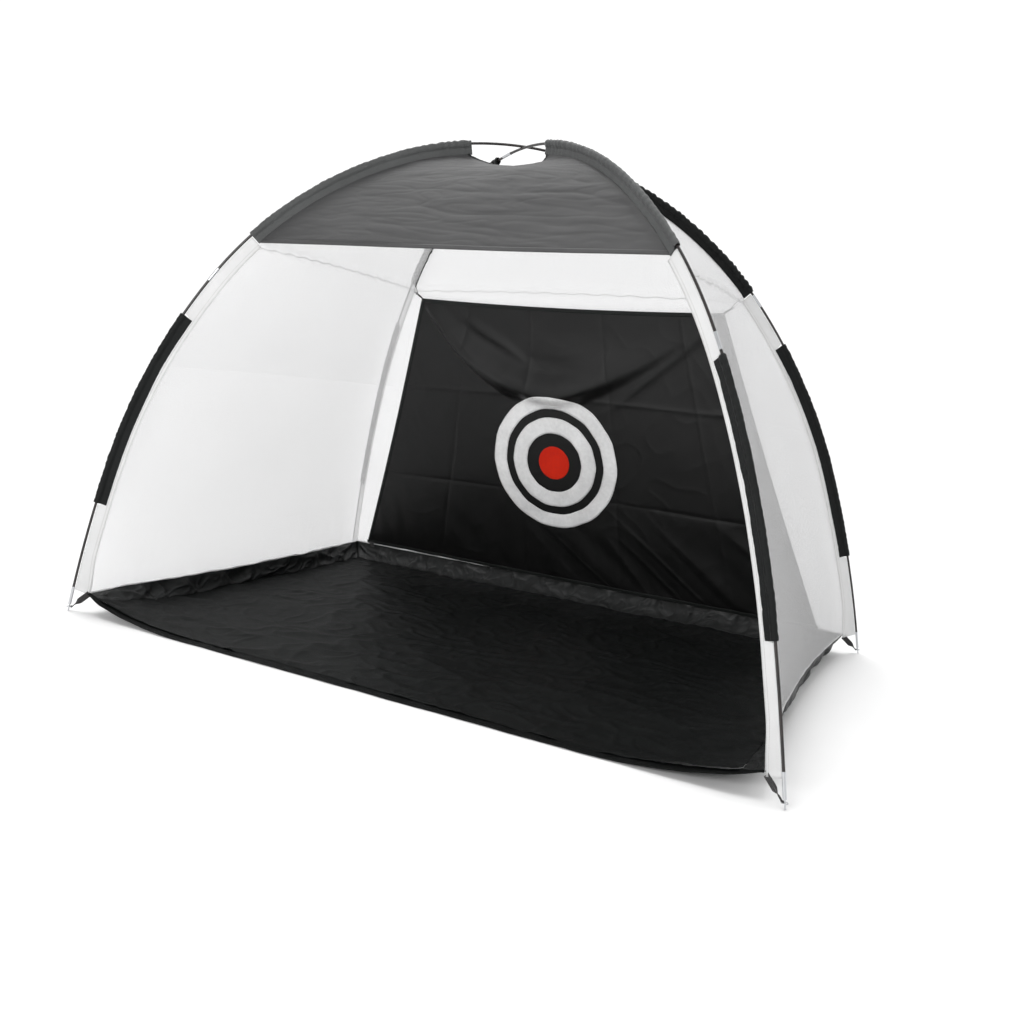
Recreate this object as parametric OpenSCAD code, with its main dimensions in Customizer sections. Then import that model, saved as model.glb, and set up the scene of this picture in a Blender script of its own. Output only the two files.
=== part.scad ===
// Golf chipping net: a pop-up tent of two crossed poles, three net walls,
// a hood, a tub floor and a hanging target. Millimetres, Z up, open front at -Y.

/* [Overall size] */
// Width over the corner rings
overall_w = 3000; // [2600:10:3400]
// Depth over the corner rings
overall_d = 1800; // [1600:10:2200]
// Height of the crossing of the poles
overall_h = 2000; // [1850:10:2150]

/* [Poles] */
// Outside diameter of a pole section
pole_d = 9.5; // [8:0.5:11]
// Bore of a pole section
pole_bore = 5.5; // [4:0.5:6]
// Outside diameter of a metal ferrule
ferrule_d = 11.5; // [11.2:0.1:12.5]
// Length of a ferrule over a pole joint
ferrule_l = 60; // [50:2:70]
// Length of the metal cup on each pole end
tip_l = 78; // [60:2:90]
// Diameter of the spike below the metal cup
spike_d = 5; // [4:0.5:6]
// Spike left showing below the cup
spike_l = 30; // [26:1:40]
// Diameter of the elastic cord inside the poles
shock_d = 3; // [2:0.5:3.5]

/* [Sleeves and edges] */
// Bore radius of a pole sleeve
sleeve_bore_r = 7.4; // [7:0.1:8]
// Outside radius of a pole sleeve
sleeve_r = 10; // [9.5:0.5:12]
// Distance from the pole axis to the inner edge of a sleeve
sleeve_reach = 38; // [34:1:42]
// Distance from the pole axis to the inner edge of the white web
web_reach = 56; // [52:1:60]

/* [Hood and walls] */
// Length along a leg from its foot to the lower end of an upper sleeve
upper_start = 1740; // [1700:10:1800]
// Length along a leg from its foot to the upper end of an upper sleeve
upper_end = 2680; // [2600:10:2700]
// Depth of the notch in each wall at the top opening
notch = 170; // [60:10:260]
// Inward bow of each wall at its middle
wall_bow = 12; // [6:1:20]

/* [Floor] */
// Height of the turned-up skirt
skirt_h = 90; // [70:5:100]
// Width that the skirt takes from floor to top edge
skirt_w = 75; // [60:5:90]

/* [Target] */
// Half width of the cloth at its top edge
target_top_half = 765; // [740:5:770]
// Half width of the cloth at its bottom edge
target_bottom_half = 1306; // [1200:2:1316]
// Radius of the outer white ring
bull_r = 342; // [250:2:380]
// Distance that the rings sit left of the middle
bull_left = 60; // [0:5:120]

/* [Hidden] */

LEGS = ["front_left", "front_right", "rear_left", "rear_right"];
// Colours
BLACK = [0.06, 0.06, 0.07];
DARK_GREY = [0.30, 0.30, 0.31];
STEEL = [0.72, 0.73, 0.75];
WHITE = [0.92, 0.92, 0.92];
RED = [0.80, 0.10, 0.08];

// Feet of the poles, and the upright plane of each pole
foot_inset = [5.8, 7.5];
foot_x = overall_w / 2 - foot_inset[0];
foot_y = overall_d / 2 - foot_inset[1];
half_diagonal = norm([foot_x, foot_y]);
pole_drop = pole_d + 0.4; // pole B passes just below pole A

// Lengths of the seven sections of each pole, from its front foot
sections_a = [680, 840, 840, 840, 820, 840, 850];
sections_b = [520, 850, 800, 800, 820, 820, 1100];
joints = 6;
// Share of the bend in nine equal lengths of a pole: it is tightest at the crown
bend_share = [5, 12, 18, 26, 29, 26, 18, 12, 5];

function sum(v, n) = n <= 0 ? v[0] * 0 : v[n - 1] + sum(v, n - 1);
function chord(turn) = sin(turn / 2) / (turn * PI / 360);
function turned(p, a) = [p[0] * cos(a) - p[1] * sin(a), p[0] * sin(a) + p[1] * cos(a)];
// Part of the bend in the first fraction f of a pole
function share(f) = let (n = len(bend_share), i = min(n - 1, floor(f * n)))
    (sum(bend_share, i) + (f * n - i) * bend_share[i]) / sum(bend_share, n);
// A pole is seven arcs that follow on smoothly and span the two feet.
// chain() gives the [run, height], heading, radius and length at each section's start.
function chain(bend, lengths) = let (
    n = len(lengths),
    whole = sum(lengths, n),
    head = [for (i = [0:n]) bend / 2 - bend * share(sum(lengths, i) / whole)],
    step = [for (i = [0:n - 1]) let (turn = head[i] - head[i + 1], mid = (head[i] + head[i + 1]) / 2)
        lengths[i] * chord(turn) * [cos(mid), sin(mid)]],
    end = sum(step, n),
    tilt = atan2(end[1], end[0]),
    k = 2 * half_diagonal / norm(end))
    [[for (i = [0:n]) k * turned(sum(step, i), -tilt)], [for (h = head) h - tilt],
     [for (i = [0:n - 1]) k * lengths[i] / ((head[i] - head[i + 1]) * PI / 180)],
     [for (i = [0:n]) k * sum(lengths, i)]];
function crown_height(c) = max([for (i = [0:joints]) if (c[1][i] >= 0 && c[1][i + 1] < 0)
    c[0][i][1] + c[2][i] * (1 - cos(c[1][i]))]);
// The bend at which a pole is as high as it should be
function solve_bend(lengths, height, lo = 90, hi = 220, n = 36) = let (b = (lo + hi) / 2)
    n == 0 ? b : crown_height(chain(b, lengths)) < height
        ? solve_bend(lengths, height, b, hi, n - 1) : solve_bend(lengths, height, lo, b, n - 1);
pole_height = overall_h - pole_d / 2;
POLES = [for (v = [sections_a, sections_b]) chain(solve_bend(v, pole_height), v)];
function pole_length(k) = POLES[k][3][joints + 1];
// Length from the ground to the cup on pole k, which is dropped with its pole
function cup_start(k) = spike_l + 1.03 * k * pole_drop;

// Point on pole k at length s from its front foot: [run, height, heading]
function section_of(k, s) = max([for (i = [0:joints]) if (i == 0 || s >= POLES[k][3][i]) i]);
function heading_at(k, s, i) = POLES[k][1][i] - (s - POLES[k][3][i]) / POLES[k][2][i] * 180 / PI;
function pole_at(k, s) = let (i = section_of(k, s), h0 = POLES[k][1][i], h = heading_at(k, s, i))
    [POLES[k][0][i][0] + POLES[k][2][i] * (sin(h0) - sin(h)),
     POLES[k][0][i][1] + POLES[k][2][i] * (cos(h) - cos(h0)), h];

// Legs: front left and rear right stand on pole A, the other two on pole B
function leg_sign(l) = [[-1, -1], [1, -1], [-1, 1], [1, 1]][l];
function leg_pole(l) = l == 1 || l == 2 ? 1 : 0;
function leg_drop(l) = leg_pole(l) * pole_drop;
// Unit vectors of a leg: inward along the diagonal, and sideways
function leg_in(l) = let (g = leg_sign(l)) [-g[0] * foot_x, -g[1] * foot_y, 0] / half_diagonal;
function leg_side(l) = let (e = leg_in(l)) [-e[1], e[0], 0];
// Point beside leg l: length s up from its foot, a inward from the pole, b sideways
function leg_point(l, s, a = 0, b = 0) = let (k = leg_pole(l), rear = l > 1,
    p = pole_at(k, rear ? pole_length(k) - s : s), g = leg_sign(k), e = leg_in(k))
    [g[0] * foot_x, g[1] * foot_y, -leg_drop(l)] + e * (p[0] + a * sin(p[2]))
    + [0, 0, p[1] - a * cos(p[2])] + leg_side(l) * b;

// Angles that turn +Z to the direction v
function turn_to(v) = [0, acos(v[2] / norm(v)), atan2(v[1], v[0])];
// Turned frame of pole k's upright plane, at its front foot
module in_plane(k) {
    g = leg_sign(k);
    e = leg_in(k);
    translate([g[0] * foot_x, g[1] * foot_y, -leg_drop(k)]) rotate([0, 0, atan2(e[1], e[0])]) children();
}
// One arc of tube from s0 to s1, with the curve that the pole has at their middle
module pole_arc(k, s0, s1, od, bore) {
    p = pole_at(k, s0);
    q = pole_at(k, s1);
    turn = p[2] - q[2];
    r = norm([q[0] - p[0], q[1] - p[1]]) / 2 / sin(turn / 2);
    mid = atan2(q[1] - p[1], q[0] - p[0]);
    head = mid + turn / 2;
    translate([p[0] + r * sin(head), 0, p[1] - r * cos(head)]) rotate([90, 0, 0])
        rotate([0, 0, 90 + mid - turn / 2]) rotate_extrude(angle = turn, $fn = 720)
            translate([r, 0]) difference() {
                circle(d = od, $fn = 20);
                circle(d = bore, $fn = 16);
            }
}
butt = 0.1; // half of the gap between two sections, inside their ferrule
module pole_section(k, i) {
    s0 = i == 0 ? cup_start(k) + 4 : POLES[k][3][i] + butt;
    s1 = i == joints ? pole_length(k) - cup_start(k) - 4 : POLES[k][3][i + 1] - butt;
    color(BLACK) in_plane(k) pole_arc(k, s0, s1, pole_d, pole_bore);
}
module ferrules(k) {
    for (i = [1:joints]) color(STEEL) in_plane(k)
        pole_arc(k, POLES[k][3][i] - ferrule_l / 2, POLES[k][3][i] + ferrule_l / 2, ferrule_d, pole_d + 0.4);
}
// Metal cup with its spike, one on each pole end
module pole_tips() {
    for (l = [0:3]) {
        foot = leg_point(l, cup_start(leg_pole(l)));
        above = leg_point(l, cup_start(leg_pole(l)) + tip_l);
        color(STEEL) translate(foot) rotate(turn_to(above - foot)) {
            difference() {
                cylinder(d = ferrule_d, h = tip_l, $fn = 32);
                translate([0, 0, 3]) cylinder(d = pole_d + 0.8, h = tip_l, $fn = 32);
            }
            translate([0, 0, 1 - spike_l]) cylinder(d = spike_d, h = spike_l, $fn = 32);
        }
    }
}
cord_rings = 64;
cord_sides = 8;
module shock_cord(k) {
    s0 = cup_start(k) + 6;
    s1 = pole_length(k) - s0;
    pts = [for (i = [0:cord_rings]) let (s = s0 + (s1 - s0) * i / cord_rings)
        for (j = [0:cord_sides - 1]) let (t = 360 * j / cord_sides)
            leg_point(k, s, shock_d / 2 * cos(t), shock_d / 2 * sin(t))];
    function at(i, j) = i * cord_sides + j % cord_sides;
    color(WHITE) polyhedron(pts, concat(
        [for (i = [0:cord_rings - 1]) for (j = [0:cord_sides - 1]) each [
            [at(i, j), at(i + 1, j), at(i + 1, j + 1)], [at(i, j), at(i + 1, j + 1), at(i, j + 1)]]],
        [[for (j = [0:cord_sides - 1]) at(0, j)], [for (j = [cord_sides - 1:-1:0]) at(cord_rings, j)]]));
}

// Closed shell over a grid of points, thickened by the vector off
module shell(grid, off) {
    n = len(grid);
    m = len(grid[0]);
    pts = concat([for (r = grid) each r], [for (r = grid) for (p = r) p + off]);
    k = n * m;
    up = cross(grid[n > 2 ? 1 : n - 1][0] - grid[0][0], grid[0][1] - grid[0][0]) * off < 0;
    function quad(a, b, c, d) = up ? [[a, b, c], [a, c, d]] : [[c, b, a], [d, c, a]];
    function at(i, j) = i * m + j;
    polyhedron(pts, concat(
        [for (i = [0:n - 2]) for (j = [0:m - 2]) each
            quad(at(i, j), at(i, j + 1), at(i + 1, j + 1), at(i + 1, j))],
        [for (i = [0:n - 2]) for (j = [0:m - 2]) each
            quad(k + at(i + 1, j), k + at(i + 1, j + 1), k + at(i, j + 1), k + at(i, j))],
        [for (i = [0:n - 2]) each quad(at(i, 0), at(i + 1, 0), k + at(i + 1, 0), k + at(i, 0))],
        [for (i = [0:n - 2]) each
            quad(at(i + 1, m - 1), at(i, m - 1), k + at(i, m - 1), k + at(i + 1, m - 1))],
        [for (j = [0:m - 2]) each quad(at(0, j + 1), at(0, j), k + at(0, j), k + at(0, j + 1))],
        [for (j = [0:m - 2]) each
            quad(at(n - 1, j), at(n - 1, j + 1), k + at(n - 1, j + 1), k + at(n - 1, j))]),
        convexity = 6);
}

// Sleeve: a fabric tube round the pole with a flat flange inward
sleeve_angles = [60, 100, 140, 180, 220, 260, 300];
flange_turns = [335, 352, 8, 25];
function sleeve_outer() = concat([for (t = sleeve_angles) sleeve_r * [cos(t), sin(t)]],
    [[16, -2], [sleeve_reach, -1.2], [sleeve_reach, 1.2], [16, 2]]);
function sleeve_inner() = [for (t = concat(sleeve_angles, flange_turns)) sleeve_bore_r * [cos(t), sin(t)]];
module sleeve(l, s0, s1, rings) {
    outer = sleeve_outer();
    inner = sleeve_inner();
    m = len(outer);
    pts = [for (r = [0:rings]) let (s = s0 + (s1 - s0) * r / rings)
        for (q = concat(outer, inner)) leg_point(l, s, q[0], q[1])];
    function o(r, j) = r * 2 * m + j % m;
    function n(r, j) = r * 2 * m + m + j % m;
    function quad(a, b, c, d) = [[a, b, c], [a, c, d]];
    polyhedron(pts, concat(
        [for (r = [0:rings - 1]) for (j = [0:m - 1]) each
            quad(o(r, j), o(r + 1, j), o(r + 1, j + 1), o(r, j + 1))],
        [for (r = [0:rings - 1]) for (j = [0:m - 1]) each
            quad(n(r, j + 1), n(r + 1, j + 1), n(r + 1, j), n(r, j))],
        [for (j = [0:m - 1]) each quad(o(0, j), o(0, j + 1), n(0, j + 1), n(0, j))],
        [for (j = [0:m - 1]) each quad(n(rings, j), n(rings, j + 1), o(rings, j + 1), o(rings, j))]),
        convexity = 6);
}
lower_start = 482;
function lower_end(l) = l < 2 ? 1328 : 1480;
module upper_sleeve(l) {
    color(l < 2 ? DARK_GREY : BLACK) sleeve(l, upper_start, upper_end, 14);
}
module lower_sleeve(l) {
    color(BLACK) sleeve(l, lower_start, lower_end(l), 12);
}

// White web beside the pole, narrower where a sleeve covers it
web_start = 106;
web_t = 1.6;
function web_outer(l, s) =
    s > lower_start - 4 && s < lower_end(l) + 4 ? sleeve_reach + 0.5 : ferrule_d / 2 + 1;
module edge_web(l) {
    low = [for (i = [0:4]) web_start + (lower_start - 5 - web_start) * i / 4];
    mid = [for (i = [0:12]) lower_start - 3 + (lower_end(l) - lower_start + 6) * i / 12];
    top = [for (i = [0:4]) lower_end(l) + 5 + (upper_start - 6 - lower_end(l)) * i / 4];
    color(WHITE) shell([for (s = concat(low, mid, top))
        [for (a = [web_outer(l, s), web_reach]) leg_point(l, s, a, -web_t / 2)]], leg_side(l) * web_t);
}

// Wall between two legs; v runs from leg p to leg q
wall_gap = 1.2;
seam_side = 2.5;
hood_peak = 0.625; // the hood's notch is right of the middle
// 1 where the notch is deepest, and 0 at both ends of the top edge
function notch_share(v, peak) = v < peak ? v / peak : (1 - v) / (1 - peak);
function wall_top(v, peak) = upper_end - 8 - notch * notch_share(v, peak);
function wall_reach(s) = s > upper_start ? sleeve_reach + wall_gap : web_reach + wall_gap;
function inward_bow(v) = 4 * v * (1 - v);
// The bow grows from foot_bow at the skirt to wall_bow, and fades at the crossing of the poles
function bow_at(s, foot_bow) = let (low = min(1, (s - 100) / 500), high = min(1, max(0, upper_end - s) / 500))
    high * (foot_bow + (wall_bow - foot_bow) * low);
// At the top each wall sags inward and down below its notch, under the crossing of the poles
crown_sag = [75, 25];
sag_start = upper_end - 400;
function sag_at(s, v, peak) =
    pow(max(0, s - sag_start) / (wall_top(v, peak) - sag_start), 2) * notch_share(v, peak);
function wall_point(p, q, s, v, side_p, side_q, inward, foot_bow, peak) =
    leg_point(p, s, wall_reach(s), side_p * seam_side) * (1 - v)
    + leg_point(q, s, wall_reach(s), side_q * seam_side) * v
    + inward * bow_at(s, foot_bow) * inward_bow(v)
    + (inward * crown_sag[0] - [0, 0, crown_sag[1]]) * sag_at(s, v, peak);
function wall_grid(p, q, s0, side_p, side_q, inward, foot_bow, rows, cols, peak = 0.5) =
    [for (i = [0:rows]) [for (j = [0:cols]) let (v = j / cols, s = s0 + (wall_top(v, peak) - s0) * i / rows)
        wall_point(p, q, s, v, side_p, side_q, inward, foot_bow, peak)]];
wall_start = 108;
side_bow = 53; // the floor holds the side nets in at their middles
module net_left() {
    color(WHITE) shell(wall_grid(0, 2, wall_start, 1, -1, [1, 0, 0], side_bow, 22, 10), [-1, 0, 1.2]);
}
module net_right() {
    color(WHITE) shell(wall_grid(1, 3, wall_start, -1, 1, [-1, 0, 0], side_bow, 22, 10), [1, 0, 1.2]);
}
module net_rear() {
    color(WHITE) shell(wall_grid(2, 3, wall_start, 1, -1, [0, -1, 0], 0, 22, 12), [0, 1, 1.2]);
}
module hood() {
    grid = wall_grid(0, 1, upper_start + 4, -1, 1, [0, 1, 0], 0, 12, 16, hood_peak);
    color(DARK_GREY) shell(grid, [0, -1, 1.2]);
}

// Tub floor: a flat sheet with three turned-up skirts and a folded front hem
sheet_t = 2;
corner = leg_point(3, 96, web_reach + 10);
floor_half = corner[0] - skirt_w;
corner_clear = 3; // the rear corners stop short of the straps
floor_rear = corner[1] - skirt_w - corner_clear;
hem_w = 43;
hem_inset = 2;
floor_front = overall_d / 2 - hem_inset - hem_w - 1;
hem_t = 6;
module floor_sheet() {
    color(BLACK) linear_extrude(sheet_t) polygon([[-floor_half, -floor_front], [floor_half, -floor_front],
        [floor_half, floor_rear], [-floor_half, floor_rear]]);
}
skirt_gap = 1.7; // the skirt's seam stands beside the sheet
skirt_belly = 0.05;
function skirt_out(t) = skirt_gap + (skirt_w - skirt_gap) * (t + skirt_belly * sin(180 * t));
function skirt_up(t) = skirt_h * (t - skirt_belly * sin(180 * t));
skirt_steps = 4;
skirt_rings = 14;
sheet_clear = 0.2;
front_clear = 8; // the side skirts start behind the front hem
skirt_bow = 56;
// Side skirt, g is -1 for the left and 1 for the right
function side_skirt_grid(g) = [for (i = [0:skirt_rings]) [for (j = [0:skirt_steps])
    let (t = j / skirt_steps, v = i / skirt_rings, w = skirt_out(t))
    [g * (floor_half + w - skirt_bow * inward_bow(v) * t), (1 - v) * (front_clear - floor_front)
        + v * (floor_rear + w - corner_clear), sheet_clear + skirt_up(t)]]];
module skirt_left() {
    color(BLACK) shell(side_skirt_grid(-1), [1.4, 0, 1.6]);
}
module skirt_right() {
    color(BLACK) shell(side_skirt_grid(1), [-1.4, 0, 1.6]);
}
module skirt_rear() {
    grid = [for (i = [0:skirt_rings]) [for (j = [0:skirt_steps])
        let (t = j / skirt_steps, v = i / skirt_rings, w = skirt_out(t), half = floor_half + w - corner_clear)
        [(2 * v - 1) * half, floor_rear + w, sheet_clear + skirt_up(t)]]];
    color(BLACK) shell(grid, [0, -1.4, 1.6]);
}
// The hem lies flat, and lifts to the corner straps at both ends
hem_flat_half = 860;
hem_end = corner[0] - 9;
hem_top = skirt_h - 14; // height of its ends
hem_sweep = 20; // its ends sweep back towards the straps
hem_rings = 32;
function hem_lift(x) = let (t = max(0, (abs(x) - hem_flat_half) / (hem_end - hem_flat_half))) hem_top * t * t;
function hem_front(x) = hem_inset - overall_d / 2 + hem_sweep * pow(abs(x) / hem_end, 6);
hem_back = hem_inset + hem_w - overall_d / 2;
module front_hem() {
    xs = [for (i = [0:hem_rings]) hem_end * (2 * i / hem_rings - 1)];
    color(BLACK) shell([for (x = xs) [for (y = [hem_front(x), (hem_front(x) + hem_back) / 2, hem_back])
        [x, y, hem_lift(x) + 0.1]]], [0, 0, hem_t - 1]);
}

// Corner strap: webbing from the floor's corner down to a steel ring on the spike.
// It is gathered at the ring, and twists so that its broad side lies in the plane of the web.
fold_bore = 5.4;
fold_d = 8;
fold_l = 7;
strap_w = 22;
strap_t = 2;
strap_s = 96; // length up the leg of its upper end
strap_fan = [fold_l / 2, 6, 10, strap_w / 2, strap_w / 2];
strap_twist = [0, 35, 75, 90, 90];
ring_r = 8.5;
ring_wire = 3;
ring_s = 19;
function ring_centre(l) = leg_point(l, ring_s + cup_start(leg_pole(l)) - spike_l);
function ring_hinge(l) = ring_centre(l) + leg_in(l) * ring_r;
module corner_strap(l) {
    h = ring_hinge(l);
    e = leg_in(l);
    side = leg_side(l);
    start = h + e * 3.3 + [0, 0, 1];
    end = leg_point(l, strap_s, web_reach + 8);
    along = (end - start) / norm(end - start);
    broad = cross(side, along); // across the strap, in the upright plane of the leg
    color(BLACK) union() {
        shell([for (i = [0:4]) [for (g = [-1, 1]) start + (end - start) * i / 4
            + g * strap_fan[i] * (side * cos(strap_twist[i]) - broad * sin(strap_twist[i]))]],
            (side + broad) / sqrt(2) * strap_t);
        translate(h) rotate([0, 0, atan2(side[1], side[0])]) rotate([0, 90, 0]) difference() {
            cylinder(d = fold_d, h = fold_l, center = true, $fn = 32);
            cylinder(d = fold_bore, h = fold_l + 2, center = true, $fn = 32);
        }
    }
}
module corner_ring(l) {
    color(STEEL) translate(ring_centre(l)) rotate_extrude($fn = 48) translate([ring_r, 0])
        circle(d = ring_wire, $fn = 16);
}

// Target: a leaning cloth hung from two toggles beside the rear legs
tie_shift = [14, 20, 0]; // the toggles stand clear of both nets
tie_rise = [5, 26]; // the cloth's top edge is behind and below the toggles
tie_point = leg_point(3, upper_start - 16, web_reach + 26) - tie_shift;
target_top_y = tie_point[1] + tie_rise[0];
target_top_z = tie_point[2] - tie_rise[1];
target_bottom_y = 806;
target_bottom_z = 104;
cloth_t = 2.4;
cloth_drop = norm([target_bottom_y - target_top_y, target_top_z - target_bottom_z]);
lean = atan2(target_bottom_y - target_top_y, target_top_z - target_bottom_z);
bull_down = cloth_drop * 0.542;
ring_ratio = [1, 0.79, 0.67, 0.44, 0.247];
module on_target() {
    translate([0, target_top_y, target_top_z]) rotate([90 + lean, 0, 0]) children();
}
module target_cloth() {
    color(BLACK) on_target() linear_extrude(cloth_t) polygon([[-target_top_half, 0],
        [-target_bottom_half, -cloth_drop], [target_bottom_half, -cloth_drop], [target_top_half, 0]]);
}
module patch(outer, inner) {
    on_target() translate([-bull_left, -bull_down, cloth_t]) linear_extrude(0.8) difference() {
        circle(r = outer, $fn = 120);
        if (inner > 0) circle(r = inner, $fn = 120);
    }
}
module target_outer_ring() { color(WHITE) patch(bull_r, bull_r * ring_ratio[1]); }
module target_inner_ring() { color(WHITE) patch(bull_r * ring_ratio[2], bull_r * ring_ratio[3]); }
module bullseye() { color(RED) patch(bull_r * ring_ratio[4], 0); }

// Toggles, their cords on the cloth and the loops on the rear legs
toggle_d = 6;
toggle_l = 30;
tie_d = 3;
toggle_hole = tie_d + 0.6;
function tie_at(g) = [g * tie_point[0], tie_point[1], tie_point[2]];
corner_rise = 1.8;
// The cord starts just above the corner of the cloth, in the middle of its thickness
function cloth_corner(g) = [g * target_top_half, target_top_y - cloth_t / 2, target_top_z + corner_rise];
module target_tie_cords() {
    for (g = [-1, 1]) {
        a = cloth_corner(g);
        b = tie_at(g);
        color(BLACK) translate(a) rotate(turn_to(b - a)) cylinder(d = tie_d, h = norm(b - a) + 5, $fn = 24);
    }
}
// The T bar lies across the end of its cord and turns about it
module toggle(g) {
    a = cloth_corner(g);
    b = tie_at(g);
    color(STEEL) translate(b) rotate(turn_to(b - a)) difference() {
        rotate([90, 0, 0]) cylinder(d = toggle_d, h = toggle_l, center = true, $fn = 32);
        cylinder(d = toggle_hole, h = 20, center = true, $fn = 32);
    }
}
// Each loop hangs from the upper sleeve and rings the cord beside its toggle
loop_r = 6;
loop_wire = 3;
loop_off = 9;
loop_s = 10; // its top end, up from the end of the sleeve and inward from its flange
loop_in = 3;
module toggle_loops() {
    for (g = [-1, 1]) {
        a = cloth_corner(g);
        b = tie_at(g);
        along = (b - a) / norm(b - a);
        c = b - along * loop_off;
        up = [0, 0, 1] - along * along[2];
        foot = c + up / norm(up) * loop_r;
        top = leg_point(g < 0 ? 2 : 3, upper_start + loop_s, sleeve_reach + loop_in);
        color(BLACK) {
            translate(c) rotate(turn_to(along)) rotate_extrude($fn = 48) translate([loop_r, 0])
                circle(d = loop_wire, $fn = 20);
            translate(foot) rotate(turn_to(top - foot))
                cylinder(d = loop_wire - 0.4, h = norm(top - foot), $fn = 24);
        }
    }
}
tab_w = 30;
tab_l = 18;
tab_t = 2;
module target_bottom_tabs() {
    for (g = [-1, 1]) color(BLACK) on_target()
        translate([g * (target_bottom_half - tab_w) - tab_w / 2, -cloth_drop - tab_l, 0])
            cube([tab_w, tab_l - 0.1, tab_t]);
}

for (i = [0:joints]) {
    pole_section(0, i);
    pole_section(1, i);
}
ferrules(0);  // pole_a_ferrules
ferrules(1);  // pole_b_ferrules
pole_tips();
shock_cord(0);  // shock_cord_a
shock_cord(1);  // shock_cord_b
for (l = [0:3]) {
    upper_sleeve(l);
    lower_sleeve(l);
    edge_web(l);
    corner_strap(l);
    corner_ring(l);
}
net_left();
net_right();
net_rear();
hood();
floor_sheet();
skirt_left();
skirt_right();
skirt_rear();
front_hem();
target_cloth();
target_outer_ring();
target_inner_ring();
bullseye();
target_tie_cords();
target_bottom_tabs();
toggle(-1);  // toggle_left
toggle(1);  // toggle_right
toggle_loops();
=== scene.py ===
import math

import bpy
import numpy as np
from mathutils import Matrix, Vector


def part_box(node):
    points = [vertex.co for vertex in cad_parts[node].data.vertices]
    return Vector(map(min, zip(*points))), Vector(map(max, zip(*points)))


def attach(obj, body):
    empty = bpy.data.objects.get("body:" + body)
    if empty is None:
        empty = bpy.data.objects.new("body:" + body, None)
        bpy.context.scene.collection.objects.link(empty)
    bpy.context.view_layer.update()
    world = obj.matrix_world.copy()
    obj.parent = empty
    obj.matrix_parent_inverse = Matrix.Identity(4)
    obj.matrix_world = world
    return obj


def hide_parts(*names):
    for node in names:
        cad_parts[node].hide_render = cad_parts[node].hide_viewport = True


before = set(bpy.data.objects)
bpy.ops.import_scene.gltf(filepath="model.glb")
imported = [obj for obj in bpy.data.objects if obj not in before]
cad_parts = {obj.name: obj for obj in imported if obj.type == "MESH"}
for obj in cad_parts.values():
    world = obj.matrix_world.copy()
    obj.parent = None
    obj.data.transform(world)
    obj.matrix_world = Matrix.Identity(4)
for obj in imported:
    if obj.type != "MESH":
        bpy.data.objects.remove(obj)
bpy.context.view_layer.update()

# ---------------------------------------------------------------- dimensions, in metres
# The frame's driving dimensions: two crossed poles of seven sections each
WIDTH, DEPTH, HEIGHT = 3.0, 1.8, 2.0
POLE_D = 0.0095
FOOT_INSET = (0.0058, 0.0075)
POLE_DROP = POLE_D + 0.0004
SECTIONS = ((0.68, 0.84, 0.84, 0.84, 0.82, 0.84, 0.85), (0.52, 0.85, 0.80, 0.80, 0.82, 0.82, 1.10))
BEND_SHARE = (5, 12, 18, 26, 29, 26, 18, 12, 5)
SLEEVE_REACH, WEB_REACH = 0.038, 0.056
UPPER_START, UPPER_END = 1.74, 2.68
LOWER_START, LOWER_END_FRONT, LOWER_END_REAR = 0.482, 1.328, 1.48
WEB_START = 0.106
NET_FOOT = 0.105
NOTCH, HOOD_PEAK = 0.17, 0.625
CROWN_SAG, SAG_START = (0.075, 0.025), UPPER_END - 0.40
SKIRT_W, SKIRT_H = 0.075, 0.09
LEGS = ("front_left", "front_right", "rear_left", "rear_right")
LEG_SIGN = np.array([(-1, -1), (1, -1), (-1, 1), (1, 1)], float)
FOOT = np.array([WIDTH / 2 - FOOT_INSET[0], DEPTH / 2 - FOOT_INSET[1]])
HALF_DIAGONAL = float(np.hypot(*FOOT))
UP = np.array([0.0, 0.0, 1.0])


# ---------------------------------------------------------------- the bent poles
def bend_up_to(fraction):
    whole = np.concatenate([[0], np.cumsum(BEND_SHARE)])
    return np.interp(fraction, np.linspace(0, 1, len(whole)), whole) / whole[-1]


def chain(bend, lengths):
    """Starts, headings, radii and lengths at each of a pole's seven arcs, for a total bend in radians."""
    along = np.concatenate([[0], np.cumsum(lengths)])
    head = bend / 2 - bend * bend_up_to(along / along[-1])
    turn, middle = head[:-1] - head[1:], (head[:-1] + head[1:]) / 2
    chords = np.array(lengths) * np.sin(turn / 2) / (turn / 2)
    steps = chords[:, None] * np.stack([np.cos(middle), np.sin(middle)], 1)
    starts = np.concatenate([[[0, 0]], np.cumsum(steps, 0)])
    tilt = math.atan2(starts[-1, 1], starts[-1, 0])
    scale = 2 * HALF_DIAGONAL / np.hypot(*starts[-1])
    turn_back = np.array([[math.cos(tilt), math.sin(tilt)], [-math.sin(tilt), math.cos(tilt)]])
    return scale * starts @ turn_back.T, head - tilt, scale * np.array(lengths) / turn, scale * along


def crown_height(pole):
    starts, head, radius, _ = pole
    i = int(np.argmax((head[:-1] >= 0) & (head[1:] < 0)))
    return starts[i, 1] + radius[i] * (1 - math.cos(head[i]))


def solve_pole(lengths):
    low, high = math.radians(90), math.radians(220)
    for _ in range(36):
        bend = (low + high) / 2
        if crown_height(chain(bend, lengths)) < HEIGHT - POLE_D / 2:
            low = bend
        else:
            high = bend
    return chain((low + high) / 2, lengths)


POLES = [solve_pole(lengths) for lengths in SECTIONS]


def pole_of(leg):
    return 1 if leg in (1, 2) else 0


def inward(leg):
    sign = LEG_SIGN[leg]
    return np.array([-sign[0] * FOOT[0], -sign[1] * FOOT[1], 0]) / HALF_DIAGONAL


def sideways(leg):
    e = inward(leg)
    return np.array([-e[1], e[0], 0])


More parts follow.
